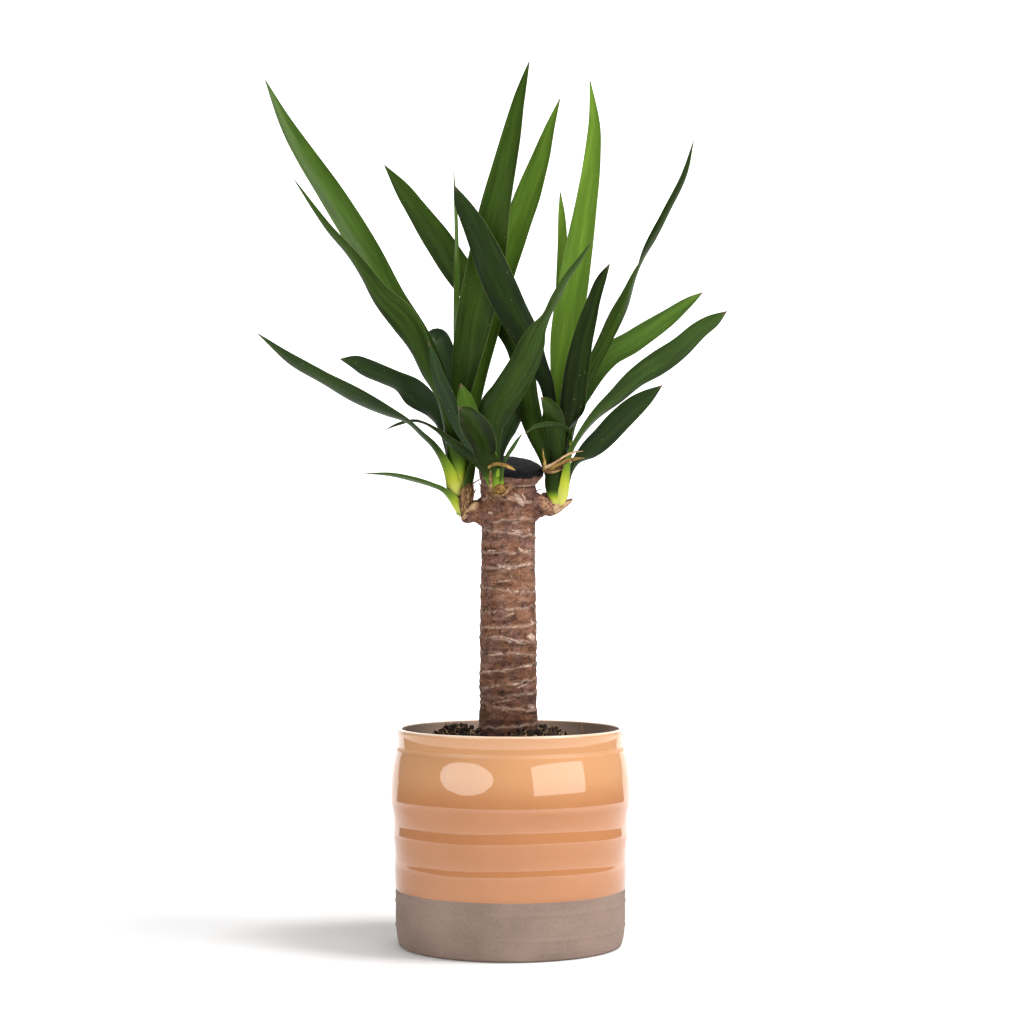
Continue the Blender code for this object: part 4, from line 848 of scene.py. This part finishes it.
def add_wax(mat, around=120, rings=26):
    """The black seal: a domed, slightly lumpy cap that runs over the cut's edge."""
    points = []
    for share in np.linspace(0.0, 1.0, rings):
        reach = math.cos(share * math.pi / 2) ** 0.55
        lift = math.sin(share * math.pi / 2) ** 0.8
        for angle in turns(around):
            rim = CUT_RADIUS + 0.1 + flare(CUT_HEIGHT, angle) + 0.35 * round_lumps(angle, 2.4, 1)
            x = CANE_X + reach * rim * math.cos(angle)
            y = reach * rim * math.sin(angle)
            bump = 0.35 * lumps(x / 4, y / 4, 9) + 0.14 * lumps(x, y, 3)
            low = (0.8 * round_lumps(angle, 1.7, 5) - 0.5) * (1 - share) ** 3
            points.append((x, y, cut_height(x, y) + low + lift * (WAX_RISE + bump)))
    add_piece("wax_cap", points, tube_faces(rings, around), [mat], ["wax_seal"])


def add_bud(mat, around=40, rings=16):
    """The flat cut face of an old bud, ringed, in front of the middle shoot."""
    points = []
    for share in np.linspace(1.0, 0.0, rings):
        depth = 3.4 * (1 - share ** 3) - 0.16 * math.cos(share * 24.0)
        for angle in turns(around):
            points.append((BUD[0] + 4.1 * share * math.cos(angle), BUD[1] - depth,
                           BUD[2] + (3.0 + 0.5 * math.sin(angle)) * share * math.sin(angle)))
    add_piece("old_bud", points, tube_faces(rings, around), [mat])


# ---- pot and potting mix

def pot_radius(height):
    """Read the pot's outside as a smooth curve."""
    rows = [(0.0, 0.0, level, radius) for radius, level in POT_OUTSIDE]
    return float(along(rows, [height / POT_OUTSIDE[-1][1]])[0][3])


def add_pot(glaze, clay, inside, around=224):
    """The thrown pot: glaze above the line, bare clay foot, rim and inside."""
    profile = [(62.6, 0.0), (63.6, 0.25)]
    heights = (*np.linspace(1.0, GLAZE_LINE - 0.5, 40), *np.linspace(GLAZE_LINE + 0.4, LIP_BASE, 200))
    for height in heights:
        radius = pot_radius(height)
        if height > GLAZE_LINE:
            radius += GLAZE_THICK * (smooth(height, GLAZE_LINE, GLAZE_LINE + 1.0) - 1)
        else:
            radius += 0.05 * math.sin(height * 1.7) - GLAZE_THICK * 0.8
            radius += sum(0.38 * math.exp(-((height - level) / 0.9) ** 2) for level in CLAY_RIDGES)
        profile.append((radius, height))
    outside = len(profile)
    for turn in np.linspace(0.0, math.pi, 11):
        profile.append((LIP_MIDDLE + 1.7 * math.cos(turn), 125.1 + 1.05 * math.sin(turn)))
    for height in np.linspace(123.6, 13.0, 60):
        wall = LIP_WALL + (POT_WALL - LIP_WALL) * smooth(POT_HEIGHT - height, 2.0, 12.0)
        profile.append((pot_radius(height) - wall, height))
    profile += [(61.4, 9.6), (59.0, POT_FLOOR + 0.4), (56.5, POT_FLOOR)]
    fine = np.arange(0.0, LIP_BASE, 0.1)
    curve = [pot_radius(height) for height in fine]
    points, pick = [], []
    for number, (radius, height) in enumerate(profile):
        for angle in turns(around):
            reach = radius
            if number < outside:
                wander = 1.1 * round_lumps(angle, 1.3, 4)
                wander *= smooth(height, 36.0, 44.0) * (1 - smooth(height, 76.0, 84.0))
                reach += np.interp(height + wander, fine, curve) - np.interp(height, fine, curve)
            points.append((reach * math.cos(angle), reach * math.sin(angle), height))
        # slots: 0 is glaze, also over the lip, 1 the clay foot and 2 the clay inside
        past = number + 1 - outside
        foot = past < 0 and height < GLAZE_LINE - 0.6
        pick += [1 if foot else 0 if past < 9 else 2] * around
    pick = pick[:-around] + [1, 2]
    add_piece("thrown_pot", points, tube_faces(len(profile), around), [glaze, clay, inside],
              ["cover_pot"], pick, 60.0)


def soil_height(x, y):
    share = (math.hypot(x - CANE_X, y) - SOIL_HOLE) / (SOIL_WALL_RADIUS - SOIL_HOLE)
    height = SOIL_AT_CANE + (SOIL_AT_WALL - SOIL_AT_CANE) * min(1.0, max(0.0, share)) ** 1.3
    for heap_x, heap_y, size, rise in HEAPS:
        away = math.hypot(x - heap_x, y - heap_y) / size
        height += rise * math.exp(-away * away)
    return height


def add_soil(mat, around=200, rings=60):
    """The rough top of the potting mix, over a plain body that fills the nursery pot."""
    points = [(radius * math.cos(angle), radius * math.sin(angle), height)
              for radius, height in ((44.0, 8.2), (54.2, 104.0)) for angle in turns(around)]
    for share in np.linspace(0.0, 1.0, rings):
        for angle in turns(around):
            outer = Vector((math.cos(angle), math.sin(angle))) * SOIL_WALL_RADIUS
            inner = Vector((CANE_X + SOIL_HOLE * math.cos(angle), SOIL_HOLE * math.sin(angle)))
            x, y = outer.lerp(inner, share)
            place = Vector((x, y, 3.0))
            rough = 1.0 * noise.noise(place / 5.0) + 0.9 * noise.fractal(place / 1.7, 0.8, 2, 3)
            points.append((x, y, soil_height(x, y) + rough))
    add_piece("soil_bed", points, tube_faces(rings + 2, around), [mat], ["soil"],
              sharp=80.0)


def scatter_spot(heaped):
    """A random place on the potting mix, (x, y), more often on a heap when heaped."""
    while True:
        if rng.random() < heaped:
            x0, y0, size, _ = rng.choice(HEAPS[:1] * 3 + HEAPS[1:3])
            x, y = rng.gauss(x0, size * 0.76), rng.gauss(y0, size * 0.6)
        else:
            angle, reach = rng.uniform(0, math.tau), math.sqrt(rng.uniform(0.1, 1.0)) * SCATTER_RADIUS
            x, y = reach * math.cos(angle), reach * math.sin(angle)
        if math.hypot(x, y) < SCATTER_RADIUS and math.hypot(x - CANE_X, y) > SCATTER_HOLE:
            return x, y


def add_chips(name, mat, count, largest, around=7, rings=5):
    """Crumbs and bark chips lying on the potting mix."""
    points, faces = [], []
    for _ in range(count):
        x, y = scatter_spot(0.55)
        size = rng.uniform(0.45, largest) * rng.uniform(0.6, 1.0)
        stretch = Vector((rng.uniform(0.8, 2.4), rng.uniform(0.5, 1.0), rng.uniform(0.3, 0.8)))
        spin = Matrix.Rotation(rng.uniform(0, math.tau), 3, "Z") @ Matrix.Rotation(
            rng.gauss(0, 0.9), 3, "X") @ Matrix.Rotation(rng.gauss(0, 1.0), 3, "Y")
        centre = Vector((x, y, soil_height(x, y) + rng.uniform(0.0, 2.8)))
        faces += tube_faces(rings, around, len(points))
        for r in range(rings):
            lift = math.pi * (r + 0.5) / rings
            for angle in turns(around):
                ball = Vector((math.sin(lift) * math.cos(angle), math.sin(lift) * math.sin(angle),
                               math.cos(lift)))
                ball *= rng.uniform(0.6, 1.25)
                points.append(centre + spin @ (ball * stretch * size))
    add_piece(name, points, faces, [mat], sharp=30.0)


def add_fibres(mat, count=520, steps=6, sides=5):
    """Short root and coir fibres standing out of the potting mix."""
    points, faces = [], []
    for _ in range(count):
        x, y = scatter_spot(0.75)
        base = Vector((x, y, soil_height(x, y) - 0.5))
        heading = Vector((rng.gauss(0, 1), rng.gauss(0, 1), rng.uniform(0.3, 2.4))).normalized()
        length, radius = rng.uniform(2.5, 7.5), rng.uniform(0.15, 0.5)
        sag = Vector((rng.gauss(0, 0.25), rng.gauss(0, 0.25), rng.uniform(-0.9, -0.1))) * length
        faces += tube_faces(steps, sides, len(points))
        for t in np.linspace(0.0, 1.0, steps):
            centre = base + heading * length * t + sag * t * t * 0.45
            for angle in turns(sides):
                offset = Vector((math.cos(angle), 0.3 * math.cos(angle), math.sin(angle)))
                points.append(centre + offset * radius * (1.1 - 0.9 * t))
    add_piece("soil_fibres", points, faces, [mat])


# ---- camera, floor and light

def add_camera():
    """Level with the cane, from the front, as a long lens sees it."""
    data = bpy.data.cameras.new("camera")
    data.lens = LENS
    data.sensor_width = 36.0
    data.clip_end = 20.0
    camera = add_object("camera", data)
    camera.location = np.multiply(CAMERA, MM)
    camera.rotation_euler = (math.radians(90.0 + CAMERA_TILT), 0.0, 0.0)
    bpy.context.scene.camera = camera


def add_area(name, place, aim_height, size, power, shape="RECTANGLE"):
    data = bpy.data.lights.new(name, "AREA")
    data.shape = shape
    data.size, data.size_y = size
    data.energy = power
    lamp = add_object(name, data)
    lamp.location = place
    lamp.visible_camera = False
    aim = Vector((0.0, 0.0, aim_height))
    lamp.rotation_euler = (aim - Vector(place)).to_track_quat("-Z", "Y").to_euler()


def add_studio():
    """A pale round floor that sweeps up behind, and soft light from both sides and above."""
    g = Graph("studio_paper")
    tint = g.ramp(g.noise(0.02, 2.0), (0.3, 0.9, 0.9, 0.9), (0.7, 0.93, 0.93, 0.93))
    away = g.add("VectorMath", {0: g.place()}, "Value", operation="LENGTH")
    glow = g.times(g.band(away, 80.0, 800.0), 0.95)
    paper = g.finish(tint, 0.9, Specular_IOR_Level=0.1, Emission_Color=(1.0, 1.0, 1.0, 1.0),
                     Emission_Strength=glow)
    spread = math.radians(46.0)
    rows = []
    for turn in np.linspace(math.pi, spread, 25):
        rows.append((FLOOR_RADIUS * math.cos(turn), FLOOR_RADIUS * math.sin(turn) + 0.001, 0.0))
    rows.append((1.6, 1.6 * math.tan(spread), 0.0))
    for turn in np.linspace(0.0, math.pi / 2, 13)[1:]:
        rows.append((1.6 + 0.9 * math.sin(turn), 1.9, 0.9 * (1 - math.cos(turn))))
    rows.append((2.5, 1.9, 4.0))
    points = [(x, y, z) for y, half, z in rows for x in (-half, half)]
    faces = [(2 * i, 2 * i + 1, 2 * i + 3, 2 * i + 2) for i in range(len(rows) - 1)]
    floor = add_mesh("studio_floor", points, faces, [paper])
    add_area("left_box", (-1.0, -1.06, 0.41), 0.1, (1.5, 0.61), 8.6, "ELLIPSE")
    add_area("right_box", (1.09, -0.98, 0.41), 0.1, (1.5, 0.61), 11.2)
    add_area("key_box", (0.84, -0.22, 1.44), 0.2, (0.55, 0.55), 21.5)
    add_area("front_box", (0.15, -0.95, 1.55), 0.2, (0.9, 0.6), 3.0)
    world = bpy.data.worlds.new("studio")
    world.use_nodes = True
    sky = world.node_tree.nodes["Background"].inputs
    sky["Color"].default_value = (1.0, 1.0, 1.0, 1.0)
    sky["Strength"].default_value = 0.28
    bpy.context.scene.world = world
    bpy.context.scene.view_settings.view_transform = "Standard"


# ---- the whole scene

def dress():
    add_camera()
    add_studio()
    clay = clay_material("bare_clay", (0.19, 0.13, 0.1), (0.285, 0.2, 0.16))
    inside = clay_material("bare_clay_inside", (0.22, 0.152, 0.112), (0.36, 0.252, 0.188))
    add_pot(glaze_material(), clay, inside)
    soil, fibre = soil_material(), fibre_material()
    add_soil(soil)
    add_chips("soil_crumbs", soil, 640, 1.9)
    add_chips("bark_chips", fibre, 170, 1.6)
    add_fibres(fibre)
    add_cane(bark_material())
    add_wax(wax_material())
    green = leaf_material()
    for number, (node, look) in enumerate(LEAVES.items()):
        add_blade(node, *look, green, number + 1)
    dry = {kind: dry_material(*look) for kind, look in DRY_LOOKS.items()}
    for number, (node, rows) in enumerate(SHEATHS.items()):
        mat = dry["gold" if "leaf" in node else "tan"]
        add_sheath("outer_" + node, rows, mat, number + 50, [node])
    for number, (kind, rows) in enumerate(SCRAPS):
        add_sheath("dry_scrap_%d" % (number + 1), rows, dry[kind], number + 60)
    for number, rows in enumerate(HAIRS):
        add_strand("dry_hair_%d" % (number + 1), rows, dry["tan"])
    add_bud(dry["gold"])
    stem = stem_material()
    carried = {"nursery_pot": plastic_material(), "left_stem": stem, "centre_stem": stem,
               "right_stem": stem}
    for name, mat in carried.items():
        nodes[name].data.materials.clear()
        nodes[name].data.materials.append(mat)


dress()
